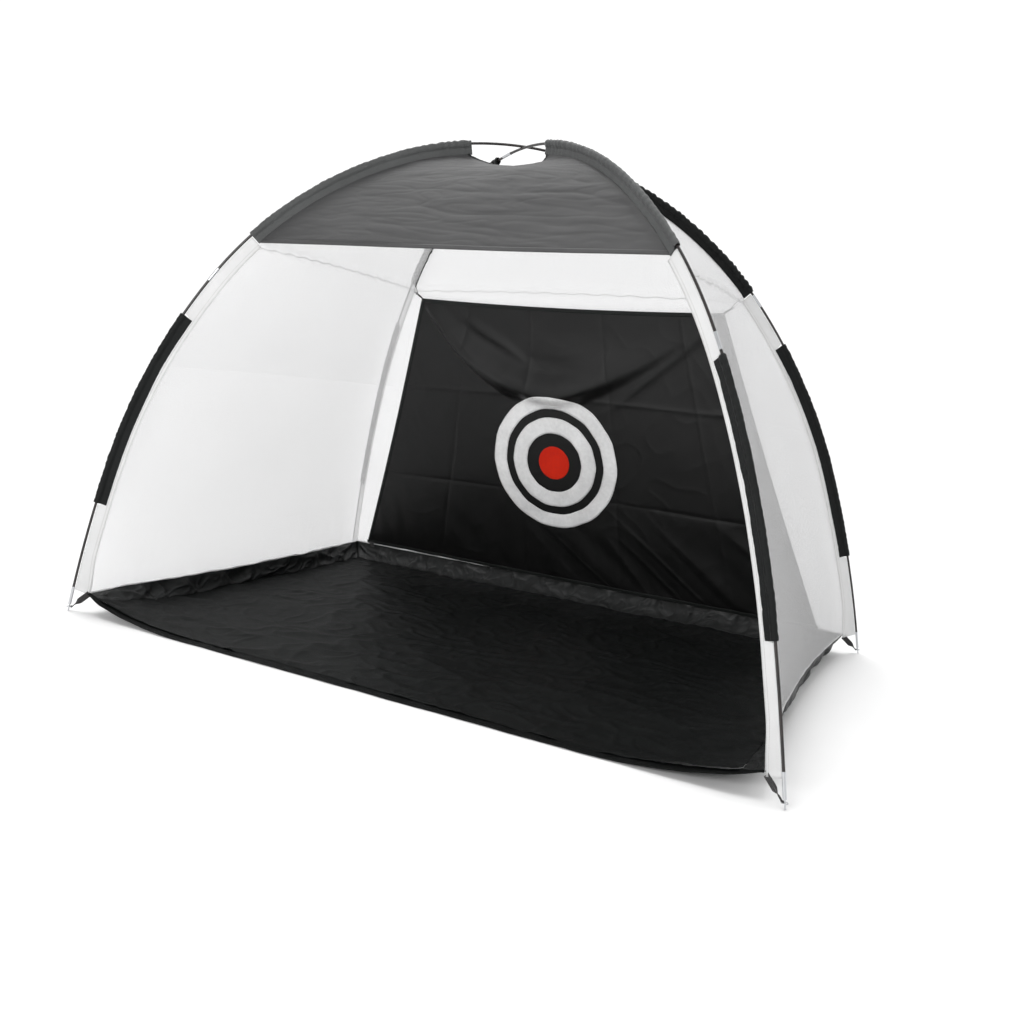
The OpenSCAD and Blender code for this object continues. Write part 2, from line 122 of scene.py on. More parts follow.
def beside(leg, s, a=0.0, b=0.0):
    """Points at length s up a leg, a inward from the pole's axis and b sideways. Arrays broadcast."""
    k = pole_of(leg)
    starts, head, radius, along = POLES[k]
    s, a, b = np.broadcast_arrays(np.asarray(s, float), a, b)
    length = along[-1] - s if leg > 1 else s
    i = np.clip(np.searchsorted(along, length, side="right") - 1, 0, len(radius) - 1)
    heading = head[i] - (length - along[i]) / radius[i]
    run = starts[i, 0] + radius[i] * (np.sin(head[i]) - np.sin(heading)) + a * np.sin(heading)
    height = starts[i, 1] + radius[i] * (np.cos(heading) - np.cos(head[i])) - a * np.cos(heading)
    foot = np.array([*(LEG_SIGN[k] * FOOT), -POLE_DROP * k])
    return foot + run[..., None] * inward(k) + height[..., None] * UP + b[..., None] * sideways(leg)


# ---------------------------------------------------------------- noise and folds
def noise(x, y, seed):
    """Smooth noise from about -1 to 1, with features about 1 unit across."""
    angle = np.random.default_rng(seed).random((64, 64)) * 2 * np.pi
    x, y = np.broadcast_arrays(np.asarray(x, float), y)
    cx, cy = np.floor(x).astype(int), np.floor(y).astype(int)
    fx, fy = x - cx, y - cy

    def corner(i, j):
        t = angle[(cx + i) % 64, (cy + j) % 64]
        return np.cos(t) * (fx - i) + np.sin(t) * (fy - j)

    sx, sy = fx * fx * (3 - 2 * fx), fy * fy * (3 - 2 * fy)
    low = corner(0, 0) * (1 - sx) + corner(1, 0) * sx
    high = corner(0, 1) * (1 - sx) + corner(1, 1) * sx
    return 1.5 * (low * (1 - sy) + high * sy)


def creases(x, y, seed):
    """Sharp ridges with flat fields between them, from 0 to 1, as in crumpled cloth."""
    warp = 0.45 * noise(x * 0.7, y * 0.7, seed + 50)
    return np.clip(1 - 3.2 * np.abs(noise(x + warp, y - warp, seed)), 0, 1) ** 1.5


def bump_at(distance, width):
    return np.exp(-((distance / width) ** 2))


def smooth_step(low, high, x):
    t = np.clip((x - low) / (high - low), 0, 1)
    return t * t * (3 - 2 * t)


def bow(v):
    return 4 * v * (1 - v)


# ---------------------------------------------------------------- meshes
CLOTH_THICK = 0.0007


def unit(vectors):
    return vectors / np.linalg.norm(vectors, axis=-1, keepdims=True)


def normals(points, closed=False):
    if closed:
        across = np.roll(points, -1, 1) - np.roll(points, 1, 1)
    else:
        across = np.gradient(points, axis=1)
    n = np.cross(np.gradient(points, axis=0), across)
    return n / np.maximum(np.linalg.norm(n, axis=2, keepdims=True), 1e-12)


def lengths_along(points, axis):
    steps = np.linalg.norm(np.diff(points, axis=axis), axis=2)
    pad = [(0, 0), (0, 0)]
    pad[axis] = (1, 0)
    return np.cumsum(np.pad(steps, pad), axis=axis)


def pairs(across, along):
    """A grid of UVs from distances across and along a sheet, which may broadcast."""
    return np.stack(np.broadcast_arrays(across, along), 2)


def add_object(name, data):
    obj = bpy.data.objects.new(name, data)
    bpy.context.scene.collection.objects.link(obj)
    return obj


def add_piece(name, points, faces, uv, material):
    mesh = bpy.data.meshes.new(name)
    mesh.from_pydata(points.reshape(-1, 3).tolist(), [], faces.tolist())
    layer = mesh.uv_layers.new(name="cloth")
    layer.data.foreach_set("uv", uv.reshape(-1, 2)[faces.reshape(-1)].astype(np.float32).ravel())
    mesh.shade_smooth()
    mesh.materials.append(material)
    return add_object(name, mesh)


def cloth(name, points, material, thick=0.0, closed=False, body="tent", stands_for=(), uv=None):
    """A sheet over a grid of points, with UVs in metres. closed joins the last column to the first."""
    rows, cols = points.shape[:2]
    if uv is None:
        uv = pairs(lengths_along(points, 1), lengths_along(points, 0))
    index = np.arange(rows * cols).reshape(rows, cols)
    if closed:
        index = np.concatenate([index, index[:, :1]], 1)
    corners = (index[:-1, :-1], index[:-1, 1:], index[1:, 1:], index[1:, :-1])
    faces = np.stack(corners, -1).reshape(-1, 4)
    obj = add_piece(name, points, faces, uv, material)
    if thick:
        solid = obj.modifiers.new("thickness", "SOLIDIFY")
        solid.thickness = thick
        solid.offset = 0
    place(obj, body, stands_for)
    return obj


def place(obj, body="tent", stands_for=()):
    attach(obj, body)
    if stands_for:
        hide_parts(*stands_for)


def tube(name, path, radius, material, body, stands_for, sides):
    """A round cord along a path of points, closed at both ends."""
    along = unit(np.gradient(path, axis=0))
    askew = np.array([0.31, 0.17, 0.93])  # parallel to no cord
    side = unit(np.cross(along, askew))
    other = np.cross(along, side)
    turn = np.arange(sides) * 2 * np.pi / sides
    ring = np.cos(turn)[None, :, None] * side[:, None] + np.sin(turn)[None, :, None] * other[:, None]
    radius = np.broadcast_to(radius, len(path))
    points = path[:, None] + ring * radius[:, None, None]
    start, end = (np.repeat(path[i, None, None], sides, 1) for i in (0, -1))
    points = np.concatenate([start, points, end])
    return cloth(name, points, material, closed=True, body=body, stands_for=stands_for)


# ---------------------------------------------------------------- materials
def connect(tree, node, inputs):
    """Links another node's outputs to a node's inputs, and sets the inputs that have plain values."""
    for key, value in inputs.items():
        if isinstance(value, bpy.types.NodeSocket):
            tree.links.new(value, node.inputs[key])
        else:
            node.inputs[key].default_value = value


def add_node(tree, kind, inputs=(), **settings):
    node = tree.nodes.new(kind)
    for key, value in settings.items():
        setattr(node, key, value)
    connect(tree, node, dict(inputs))
    return node


def maths(tree, operation, *values):
    return add_node(tree, "ShaderNodeMath", dict(enumerate(values)), operation=operation).outputs[0]


def weighted(tree, first, first_weight, second, second_weight):
    parts = maths(tree, "MULTIPLY", first, first_weight), maths(tree, "MULTIPLY", second, second_weight)
    return maths(tree, "ADD", *parts)


def new_material(name):
    material = bpy.data.materials.new(name)
    material.use_nodes = True
    tree = material.node_tree
    tree.nodes.clear()
    shader = add_node(tree, "ShaderNodeBsdfPrincipled")
    output = add_node(tree, "ShaderNodeOutputMaterial", {"Surface": shader.outputs[0]})
    return material, tree, shader, output


def cloth_coordinates(tree):
    """The two UV coordinates in metres, and the vector that holds them."""
    vector = add_node(tree, "ShaderNodeUVMap", uv_map="cloth").outputs[0]
    split = add_node(tree, "ShaderNodeSeparateXYZ", {0: vector})
    return split.outputs[0], split.outputs[1], vector


def texture(tree, vector, size, detail=3.0, roughness=0.55):
    """Noise from 0 to 1 whose features are about size metres across."""
    inputs = {"Vector": vector, "Scale": 1 / size, "Detail": detail, "Roughness": roughness}
    return add_node(tree, "ShaderNodeTexNoise", inputs).outputs["Fac"]


def sine(tree, coordinate, pitch):
    """A wave from -1 to 1 that repeats every pitch metres."""
    return maths(tree, "SINE", maths(tree, "MULTIPLY", coordinate, 2 * math.pi / pitch))


def ramp(tree, value, low, high, low_value, high_value):
    inputs = {"Value": value, 1: low, 2: high, 3: low_value, 4: high_value}
    return add_node(tree, "ShaderNodeMapRange", inputs).outputs[0]


def mix_colours(tree, share, first, second):
    return add_node(tree, "ShaderNodeMix", {0: share, 6: first, 7: second}, data_type="RGBA").outputs[2]


def bump(tree, height, depth, strength=1.0):
    inputs = {"Height": height, "Distance": depth, "Strength": strength}
    return add_node(tree, "ShaderNodeBump", inputs).outputs[0]


def lit_through(tree, shader, colour, glow):
    """A shader mixed with the light that comes through thin cloth from behind."""
    behind = add_node(tree, "ShaderNodeBsdfTranslucent", {"Color": colour})
    inputs = {0: glow, 1: shader.outputs[0], 2: behind.outputs[0]}
    return add_node(tree, "ShaderNodeMixShader", inputs).outputs[0]


def rgba(colour):
    return (*colour, 1.0)


def stitch_mask(tree, across, along, places, width=0.0012, pitch=0.0045):
    """1 on dashed thread lines at these distances across the cloth."""
    dash = maths(tree, "GREATER_THAN", sine(tree, along, pitch), -0.45)
    total = None
    for place_at in places:
        near = maths(tree, "COMPARE", across, place_at, width / 2)
        total = near if total is None else maths(tree, "MAXIMUM", total, near)
    return maths(tree, "MULTIPLY", total, dash)


def fabric(name, dark, light, roughness, sheen, weave=0.0011, depth=0.00012, rub=0.25, slub=0.006,
           stitches=(), thread=(0.5, 0.5, 0.5), crinkle=0.0, specular=0.4, glow=0.0):
    """Woven cloth: threads, slubs, faded patches and rows of stitches. glow is the light it lets through."""
    material, tree, shader, output = new_material(name)
    u, v, vector = cloth_coordinates(tree)
    patches = texture(tree, vector, 0.22, 4.0)
    slubs = texture(tree, vector, slub, 2.0)
    faded = ramp(tree, weighted(tree, patches, 0.75, slubs, 0.25), 0.5 - rub, 0.5 + rub, 0.0, 1.0)
    colour = mix_colours(tree, faded, rgba(dark), rgba(light))
    threads = maths(tree, "MULTIPLY", sine(tree, u, weave), sine(tree, v, weave))
    height = weighted(tree, threads, 1.0, slubs, 1.5)
    if crinkle:
        height = weighted(tree, height, 1.0, texture(tree, vector, 0.02, 5.0), crinkle)
    if stitches:
        mask = stitch_mask(tree, u, v, stitches)
        colour = mix_colours(tree, mask, colour, rgba(thread))
        height = weighted(tree, height, 1.0, mask, 3.0)
    connect(tree, shader, {
        "Base Color": colour,
        "Roughness": ramp(tree, slubs, 0.3, 0.7, roughness - 0.06, roughness + 0.06),
        "Normal": bump(tree, height, depth),
        "Sheen Weight": sheen,
        "Sheen Roughness": 0.4,
        "Specular IOR Level": specular,
    })
    if glow:
        connect(tree, output, {"Surface": lit_through(tree, shader, colour, glow)})
    return material


def mesh_net(name, colour, pitch=0.0032, opening=1.55, glow=0.42):
    """Fine knitted netting: diamonds of thread with clear holes, lit from both sides."""
    material, tree, shader, output = new_material(name)
    u, v, vector = cloth_coordinates(tree)
    sum_wave = sine(tree, maths(tree, "ADD", u, v), 2 * pitch)
    difference_wave = sine(tree, maths(tree, "SUBTRACT", u, v), 2 * pitch)
    hole = maths(tree, "MULTIPLY", maths(tree, "MULTIPLY", sum_wave, sum_wave),
                 maths(tree, "MULTIPLY", difference_wave, difference_wave))
    clouds = texture(tree, vector, 0.35, 2.0)
    tint = mix_colours(tree, clouds, rgba(colour), rgba([0.93 * c for c in colour]))
    connect(tree, shader, {
        "Base Color": tint,
        "Roughness": 0.75,
        "Normal": bump(tree, hole, 0.0003, 0.6),
        "Specular IOR Level": 0.25,
        "Sheen Weight": 0.15,
    })
    clear = add_node(tree, "ShaderNodeBsdfTransparent")
    open_share = maths(tree, "MULTIPLY", hole, opening)
    cover = maths(tree, "SUBTRACT", 1.0, maths(tree, "MINIMUM", open_share, 1.0))
    inputs = {0: cover, 1: clear.outputs[0], 2: lit_through(tree, shader, tint, glow)}
    connect(tree, output, {"Surface": add_node(tree, "ShaderNodeMixShader", inputs).outputs[0]})
    return material


def object_noise(tree, size, detail=3.0, stretch=(1, 1, 1)):
    position = add_node(tree, "ShaderNodeNewGeometry").outputs["Position"]
    mapped = add_node(tree, "ShaderNodeMapping", {"Vector": position, "Scale": stretch})
    return texture(tree, mapped.outputs[0], size, detail)


def metal(name, colour, roughness, fine=0.0015):
    """Zinc-plated steel with drawn grain, dull patches and small scratches."""
    material, tree, shader, _ = new_material(name)
    patches = object_noise(tree, 0.012, 4.0)
    grain = object_noise(tree, fine, 2.0, (1, 1, 6))
    shade = weighted(tree, patches, 0.6, grain, 0.4)
    connect(tree, shader, {
        "Base Color": mix_colours(tree, shade, rgba([0.72 * c for c in colour]), rgba(colour)),
        "Roughness": ramp(tree, shade, 0.3, 0.7, roughness - 0.1, roughness + 0.12),
        "Normal": bump(tree, grain, 0.00008),
        "Metallic": 1.0,
    })
    return material


def rod(name, dark, light):
    """Pultruded fibreglass: long fibres under a glossy skin, rubbed paler in places."""
    material, tree, shader, _ = new_material(name)
    fibres = object_noise(tree, 0.004, 3.0, (1, 1, 0.25))
    rubs = object_noise(tree, 0.09, 3.0)
    share = ramp(tree, weighted(tree, fibres, 0.45, rubs, 0.55), 0.38, 0.68, 0.0, 1.0)
    connect(tree, shader, {
        "Base Color": mix_colours(tree, share, rgba(dark), rgba(light)),
        "Roughness": ramp(tree, rubs, 0.3, 0.7, 0.28, 0.46),
        "Normal": bump(tree, fibres, 0.0001),
        "Coat Weight": 0.25,
    })
    return material


def moulded(name, dark, light, roughness=0.45):
    """Moulded plastic or rubber with a fine spark-eroded grain."""
    material, tree, shader, _ = new_material(name)
    grain = object_noise(tree, 0.0009, 2.0)
    flow = object_noise(tree, 0.02, 3.0)
    connect(tree, shader, {
        "Base Color": mix_colours(tree, flow, rgba(dark), rgba(light)),
        "Roughness": ramp(tree, grain, 0.3, 0.7, roughness - 0.08, roughness + 0.1),
        "Normal": bump(tree, grain, 0.00006),
    })
    return material


def webbing(name, dark, light, rib=0.0024):
    """Woven tape with ribs across it and a finer warp along it."""
    material, tree, shader, _ = new_material(name)
    u, v, vector = cloth_coordinates(tree)
    ribs = sine(tree, v, rib)
    warp = sine(tree, u, rib * 0.8)
    wear = texture(tree, vector, 0.015, 4.0)
    connect(tree, shader, {
        "Base Color": mix_colours(tree, wear, rgba(dark), rgba(light)),
        "Roughness": ramp(tree, wear, 0.3, 0.7, 0.62, 0.8),
        "Normal": bump(tree, weighted(tree, ribs, 1.0, warp, 0.6), 0.00025),
        "Sheen Weight": 0.3,
    })
    return material


def grey(level):
    return (level, level, level)


GREY_CLOTH = fabric("grey_polyester", (0.048, 0.048, 0.049), (0.073, 0.073, 0.074), 0.55, 0.08,
                    depth=0.00008, glow=0.07)
SLEEVE_STITCHES = (0.0235, 0.0600)
GREY_SLEEVE = fabric("grey_sleeve_cloth", (0.046, 0.048, 0.048), (0.084, 0.087, 0.087), 0.5, 0.10,
                     stitches=SLEEVE_STITCHES, thread=grey(0.05))
BLACK_SLEEVE = fabric("black_sleeve_cloth", (0.004, 0.0045, 0.0045), (0.010, 0.011, 0.011), 0.48, 0.02,
                      stitches=SLEEVE_STITCHES, thread=grey(0.03), specular=0.16)
SATIN = {"depth": 0.00007, "crinkle": 5.0}
FLOOR_SATIN = fabric("black_satin", (0.003, 0.0035, 0.0034), (0.007, 0.0078, 0.0076), 0.52, 0.0,
                     specular=0.08, **SATIN)
# The skirts' satin is the floor's cloth with a lighter base colour: painted light on the upright skirts.
SKIRT_SATIN_PAINTED_LIGHTER = fabric("black_satin_painted_lighter", (0.004, 0.0045, 0.0044), (0.010, 0.011, 0.0108), 0.42, 0.01,
                     specular=0.30, **SATIN)
BLACK_TARGET = fabric("black_target_cloth", grey(0.0015), grey(0.004), 0.44, 0.005,
                      weave=0.0018, depth=0.00009, crinkle=2.5, specular=0.33)
BLACK_HEM = fabric("black_hem_cloth", (0.0015, 0.0019, 0.0018), (0.0035, 0.0041, 0.0040), 0.6, 0.0,
                   stitches=(0.003,), thread=grey(0.02), specular=0.08)
BLACK_BINDING = fabric("black_binding", (0.005, 0.0065, 0.006), (0.011, 0.013, 0.012), 0.5, 0.05,
                       stitches=(0.003,), thread=grey(0.03), specular=0.25)
WHITE = {"dark": grey(0.80), "light": grey(0.88), "sheen": 0.08, "depth": 0.00008, "glow": 0.5}
WHITE_CLOTH = fabric("white_polyester", roughness=0.6, stitches=(0.004, 0.0135), thread=(0.55, 0.55, 0.52),
                     **WHITE)
WHITE_TAPE = fabric("white_tape", roughness=0.65, stitches=(0.0025,), thread=(0.7, 0.7, 0.68), **WHITE)
PATCH_WHITE = fabric("off_white_patch", grey(0.72), grey(0.95), 0.7, 0.1, weave=0.0020, rub=0.15, slub=0.018)
PATCH_RED = fabric("red_patch", (0.56, 0.013, 0.003), (0.74, 0.025, 0.005), 0.7, 0.03,
                   weave=0.0020, rub=0.18, slub=0.014, specular=0.2)
STITCHING = fabric("patch_thread", grey(0.50), grey(0.68), 0.6, 0.1, weave=0.0008)
NETTING = mesh_net("white_mesh", (0.88, 0.88, 0.885))
WEBBING = webbing("black_webbing", (0.005, 0.0045, 0.0045), (0.018, 0.014, 0.014))
CORD = webbing("black_cord", grey(0.006), grey(0.018), 0.0016)
STEEL = metal("steel", (0.70, 0.71, 0.73), 0.34)
FIBREGLASS = rod("fibreglass_pole", (0.005, 0.004, 0.004), (0.024, 0.017, 0.016))
ELASTIC = moulded("elastic_cord", grey(0.70), grey(0.85), 0.7)
TOGGLE_GREY = moulded("toggle_plastic", (0.30, 0.30, 0.31), (0.44, 0.44, 0.45))


def dress(node, material):
    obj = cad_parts[node]
    if not obj.material_slots:
        obj.data.materials.append(material)
    for slot in obj.material_slots:
        slot.material = material


for pole in "ab":
    for number in range(1, 8):
        dress(f"pole_{pole}_section_{number}", FIBREGLASS)
    dress(f"pole_{pole}_ferrules", STEEL)
    dress(f"shock_cord_{pole}", ELASTIC)
dress("pole_tips", STEEL)
for leg_name in LEGS:
    dress(f"corner_ring_{leg_name}", STEEL)


# ---------------------------------------------------------------- sleeves round the poles
# Half of a sleeve's outline, from its flange to the outer side of the pole: inward and sideways
HALF_OUTLINE = 0.001 * np.array([
    (38, 0.7), (36.5, 1.1), (33, 0.9), (28, 0.8), (22, 0.9), (17.5, 0.8), (15, 1.3), (12.5, 2.8), (9.5, 5.0),
    (6, 6.9), (2.5, 7.9), (-1, 8.1), (-4.2, 7.3), (-6.8, 5.4), (-8.4, 2.8), (-8.9, 0)])
FOLD_PITCH = 0.030  # from one cross fold of a gathered sleeve to the next


def sleeve(leg, s0, s1, name, material, slot, gather, seed, end_gather=0.0, step=0.006):
    """A pole sleeve: a tube round the pole and a stitched flange. gather is the depth of its cross folds."""
    outline = np.concatenate([HALF_OUTLINE, HALF_OUTLINE[-2::-1] * (1, -1)])
    s = np.linspace(s0, s1, int((s1 - s0) / step) + 1)[:, None]
    a, b = outline[:, 0][None], outline[:, 1][None]
    round_it = np.cumsum(np.concatenate([[0], np.hypot(*np.diff(outline, axis=0).T)]))[None]
    wave = 0.005 * gather * noise(s / 0.04, 0.5, seed) * smooth_step(0.012, 0.03, a)
    wander = 0.0016 * noise(s / 0.13, 3.5, seed + 1) * smooth_step(0.016, 0.038, a)
    points = beside(leg, s, a + wander, b + wave)
    beat = s / FOLD_PITCH + 0.8 * noise(s / 0.15, 0.5, seed + 2)
    beat = beat + 0.3 * noise(s / 0.05, round_it / 0.03, seed + 3)
    size = 0.7 + 0.5 * noise(s / 0.05, round_it / 0.06, seed + 7)
    size = size + end_gather * smooth_step(s1 - 0.30, s1, s)
    ridge = 0.0066 * size * np.abs(np.sin(np.pi * beat))
    ridge = ridge + 0.0016 * creases(s / 0.024, round_it / 0.03, seed + 4)
    soft = 0.0009 * noise(s / 0.07, round_it / 0.012, seed + 5)
    soft = soft + 0.0005 * creases(s / 0.05, round_it / 0.015, seed + 6)
    ends = smooth_step(0, 0.02, s - s0) * smooth_step(0, 0.02, s1 - s)
    hem = 0.0007 * (1 - smooth_step(0.012, 0.015, np.minimum(s - s0, s1 - s)))
    flange = 1 - 0.65 * smooth_step(0.008, 0.020, a)
    lift = (gather * ridge + soft) * (0.25 + 0.75 * ends) * flange + hem
    points = points - normals(points, closed=True) * lift[..., None]
    uv = pairs(round_it, s - s0)
    node = f"{name}_{LEGS[leg]}"
    obj = cloth(node, points, material, thick=0.0006, closed=True, stands_for=[node], uv=uv)


def lower_end(leg):
    return LOWER_END_FRONT if leg < 2 else LOWER_END_REAR


FRONT_SLEEVE = (GREY_SLEEVE, "grey_polyester", 0.35)
REAR_SLEEVE = (BLACK_SLEEVE, "black_polyester", 1.0)
LOWER_SLEEVE = (BLACK_SLEEVE, "black_polyester", 0.3)
for leg in range(4):
    upper, end_gather = (FRONT_SLEEVE, 1.2) if leg < 2 else (REAR_SLEEVE, 0.0)
    sleeve(leg, UPPER_START, UPPER_END, "upper_sleeve", *upper, 10 + leg, end_gather)
    sleeve(leg, LOWER_START, lower_end(leg), "lower_sleeve", *LOWER_SLEEVE, 20 + leg)


# ---------------------------------------------------------------- white webs beside the poles
WEB_LOW, WEB_OUTER = WEB_START - 0.009, 0.0072
CUT = 0.006  # over this length a web widens past the end of a lower sleeve
FOOT_BLEND = 0.16  # over this height a wall comes out to the skirt's top edge


def above_foot(s):
    return 1 - smooth_step(NET_FOOT, NET_FOOT + FOOT_BLEND, s)


def web(leg, seed):
    """The white strip between a pole and its nets, narrow beside a black sleeve, with a folded inner hem."""
    s = np.linspace(WEB_LOW, UPPER_START - 0.004, 260)[:, None]
    beside_sleeve = smooth_step(LOWER_START - CUT, LOWER_START, s)
    beside_sleeve = beside_sleeve * (1 - smooth_step(lower_end(leg), lower_end(leg) + CUT, s))
    outer = WEB_OUTER + (SLEEVE_REACH - 0.0015 - WEB_OUTER) * beside_sleeve
    share = np.linspace(0, 1, 15)[None]
    inner = WEB_REACH + 0.0006 + 0.0012 * noise(s / 0.2, 0.5, seed) + 0.0125 * above_foot(s)
    a = inner + (outer - inner) * share
    from_edge = inner - a
    drift = 0.0016 * noise(s / 0.16, a / 0.03, seed + 1) + 0.0007 * creases(s / 0.12, a / 0.02, seed + 2)
    hem = 0.0008 * (from_edge < 0.012) * smooth_step(0, 0.002, from_edge)
    s = s - 0.006 * (1 - share) * (1 - smooth_step(WEB_LOW, WEB_START + 0.03, s))
    held = smooth_step(0, 0.01, from_edge) * smooth_step(0, 0.01, a - outer + 0.004)
    points = beside(leg, s, a, drift * held + hem)
    uv = pairs(from_edge, s - WEB_START)
    node = f"edge_web_{LEGS[leg]}"
    obj = cloth(node, points, WHITE_CLOTH, thick=0.0009, stands_for=[node], uv=uv)


for leg in range(4):
    web(leg, 30 + 3 * leg)


# ---------------------------------------------------------------- floor, skirts and front hem
STRAP_REACH = WEB_REACH + 0.010
CORNER = beside(3, 0.096, STRAP_REACH)
FLOOR_HALF = float(CORNER[0]) - SKIRT_W
FLOOR_REAR = float(CORNER[1]) - SKIRT_W - 0.003
FLOOR_FRONT = -(DEPTH / 2 - 0.046)
FLOOR_LENGTH = FLOOR_REAR - FLOOR_FRONT
FLOOR_TUCK = 0.012  # the floor's front edge lies inside the hem
HEM_END = float(CORNER[0]) - 0.009
HEM_FLAT_HALF = 0.86
HEM_W = 0.045
HEM_BACK = -(DEPTH / 2 - HEM_W)
SKIRT_SEAM = 0.0015
SKIRT_EDGE_X, SKIRT_EDGE_Y = FLOOR_HALF + SKIRT_W - SKIRT_SEAM, FLOOR_REAR + SKIRT_W - SKIRT_SEAM
SKIRT_BOW = 0.056


def hem_lift(x):
    """Height of the front edge, which rises to the corner straps at both ends."""
    t = np.clip((np.abs(x) - HEM_FLAT_HALF) / (HEM_END - HEM_FLAT_HALF), 0, 1)
    return (SKIRT_H - 0.014) * t * t


def floor_z(x, y):
    """Height of the floor sheet: flat, with crumples, puckers at its seams and lifted front corners."""
    soft = 0.0040 * (noise(x / 0.42, y / 0.30, 41) + 0.6)
    folded = 0.0060 * creases(x / 0.34, y / 0.17, 43) + 0.0035 * creases(x / 0.13, y / 0.10, 47)
    fine = 0.0012 * (noise(x / 0.055, y / 0.04, 49) + 1)
    to_side = FLOOR_HALF - np.abs(x)
    to_rear = FLOOR_REAR - y
    side_pucker = np.exp(-to_side / 0.10) * (0.010 * np.abs(noise(y / 0.075, to_side / 0.25, 51)))
    rear_pucker = np.exp(-to_rear / 0.09) * (0.009 * np.abs(noise(x / 0.085, to_rear / 0.25, 53)))
    pulled = np.clip(1 - (y - HEM_BACK) / 0.42, 0, 1.1) ** 1.7
    rays = np.arctan2(y - HEM_BACK + 0.02, HEM_END - np.abs(x))
    drawn = 0.007 * creases(rays * 2.6, np.sign(x) * 3.5, 57) * smooth_step(0.78, 1.2, np.abs(x)) * pulled
    flat = 0.0012 + np.clip(soft + folded + fine, 0, 0.02)
    return flat + side_pucker + rear_pucker + pulled * hem_lift(x) + drawn


def floor_sheet():
    x = np.linspace(-FLOOR_HALF, FLOOR_HALF, 300)[None]
    y = np.linspace(FLOOR_FRONT - FLOOR_TUCK, FLOOR_REAR, 190)[:, None]
    x, y = np.broadcast_arrays(x, y)
    points = np.stack([x, y, floor_z(x, y)], 2)
    obj = cloth("floor_sheet", points, FLOOR_SATIN, CLOTH_THICK, stands_for=["floor_sheet"])


floor_sheet()


def near_front(v):
    """1 at the front end of a side skirt, and 0 away from it."""
    return 1 - smooth_step(0, 0.16, v * FLOOR_LENGTH)


def skirt_top(side, v):
    """A skirt's upper edge: side -1 left, 1 right, 0 rear; v runs from front to rear, or left to right."""
    step = 0.0035 * noise(v * 19, side + 0.5, 61) * bow(v) ** 0.3
    if side == 0:
        x = (2 * v - 1) * SKIRT_EDGE_X
        return np.stack([x, SKIRT_EDGE_Y - np.abs(step), SKIRT_H + step], -1)
    y = (1 - v) * HEM_BACK + v * SKIRT_EDGE_Y
    x = side * (SKIRT_EDGE_X - SKIRT_BOW * bow(v) - np.abs(step))
    return np.stack([x, y, SKIRT_H + step - 0.011 * near_front(v)], -1)


def skirt_foot(side, v):
    if side == 0:
        x = (2 * v - 1) * FLOOR_HALF
        y = np.full_like(x, FLOOR_REAR)
    else:
        y = (1 - v) * HEM_BACK + v * FLOOR_REAR
        x = np.full_like(y, side * FLOOR_HALF)
    return np.stack([x, y, floor_z(x, y)], -1)


def skirt(side, name, seed):
    """A turned-up strip between the floor and a net, drawn into puckers by its two seams."""
    length = FLOOR_LENGTH if side else 2 * FLOOR_HALF
    v = np.linspace(0, 1, int(length / 0.007))[:, None]
    t = np.linspace(0, 1, 24)[None]
    top, foot = skirt_top(side, v), skirt_foot(side, v)
    out = (t + 0.09 * np.sin(np.pi * t))[..., None]
    rise = (t - 0.09 * np.sin(np.pi * t))[..., None]
    points = foot + (top - foot) * (1, 1, 0) * out + (top - foot) * (0, 0, 1) * rise
    if side:
        x = np.abs(points[:1, :, :1])
        edge = np.concatenate([points[:1, :, :2], 0.004 + hem_lift(x)], 2)
        points = points + (edge - points[:1]) * near_front(v)[..., None]
    along = v * length
    free = np.sin(np.pi * t) ** 0.7 * smooth_step(0, 0.05, np.minimum(v, 1 - v) * length)
    pleats = 0.0120 * noise(along / 0.095 + 0.5 * noise(along / 0.2, t, seed), t * 0.7, seed + 1)
    folds = 0.0120 * creases(along / 0.13 + 0.25 * t, t * 0.8, seed + 2)
    folds = folds + 0.006 * creases(along / 0.06, t * 1.6, seed + 3)
    lift = (pleats + folds - 0.002) * free
    facing = -1 if np.dot(normals(points)[5, 8], np.array([side, 1 - abs(side), 0])) > 0 else 1
    points = points + normals(points) * (lift * facing)[..., None]
    points[..., 2] = np.maximum(points[..., 2], 0.001)
    # The skirts' satin has a lighter base colour than the floor's: painted light.
    obj = cloth(name, points, SKIRT_SATIN_PAINTED_LIGHTER, CLOTH_THICK, stands_for=[name])


skirt(-1, "skirt_left", 70)
skirt(1, "skirt_right", 75)
skirt(0, "skirt_rear", 80)


def front_hem():
    """The folded front edge: a flat tube of cloth with a raised lip, which rises to both corners."""
    x = np.linspace(-HEM_END - 0.004, HEM_END + 0.004, 380)[:, None]
    edge = np.abs(x) / HEM_END
    front = -DEPTH / 2 + 0.002 + 0.020 * edge**6 + 0.014 * smooth_step(0.93, 1.0, edge)
    front = front + 0.0025 * noise(x / 0.12, 0.5, 91)
    back = HEM_BACK + 0.003
    turn = np.linspace(0, 2 * np.pi, 29)[None, :-1]
    share = 0.5 - 0.5 * np.cos(turn)
    above = np.sin(turn) > 0
    rounded = np.sign(np.sin(turn)) * np.abs(np.sin(turn)) ** 0.5
    thick = (0.0026 + 0.0009 * noise(x / 0.07, 4.5, 92)) * rounded
    lip = 0.0022 * bump_at(share - 0.86, 0.10) * above
    groove = -0.0012 * bump_at(share - 0.70, 0.05) * above
    sag = 0.004 * np.abs(noise(x / 0.16, 1.5, 93)) + 0.0022 * creases(x / 0.09, share * 1.2, 94)
    y = front + (back - front) * share
    z = 0.0032 + hem_lift(x) + thick + lip + groove + sag * (0.35 + 0.65 * share)
    x, y, z = np.broadcast_arrays(x, y, z)
    points = np.stack([x, y, np.maximum(z, 0.0004)], 2)
    uv = pairs(0.04 * share, x - x.min())
    obj = cloth("front_hem", points, BLACK_HEM, closed=True, stands_for=["front_hem"], uv=uv)


front_hem()


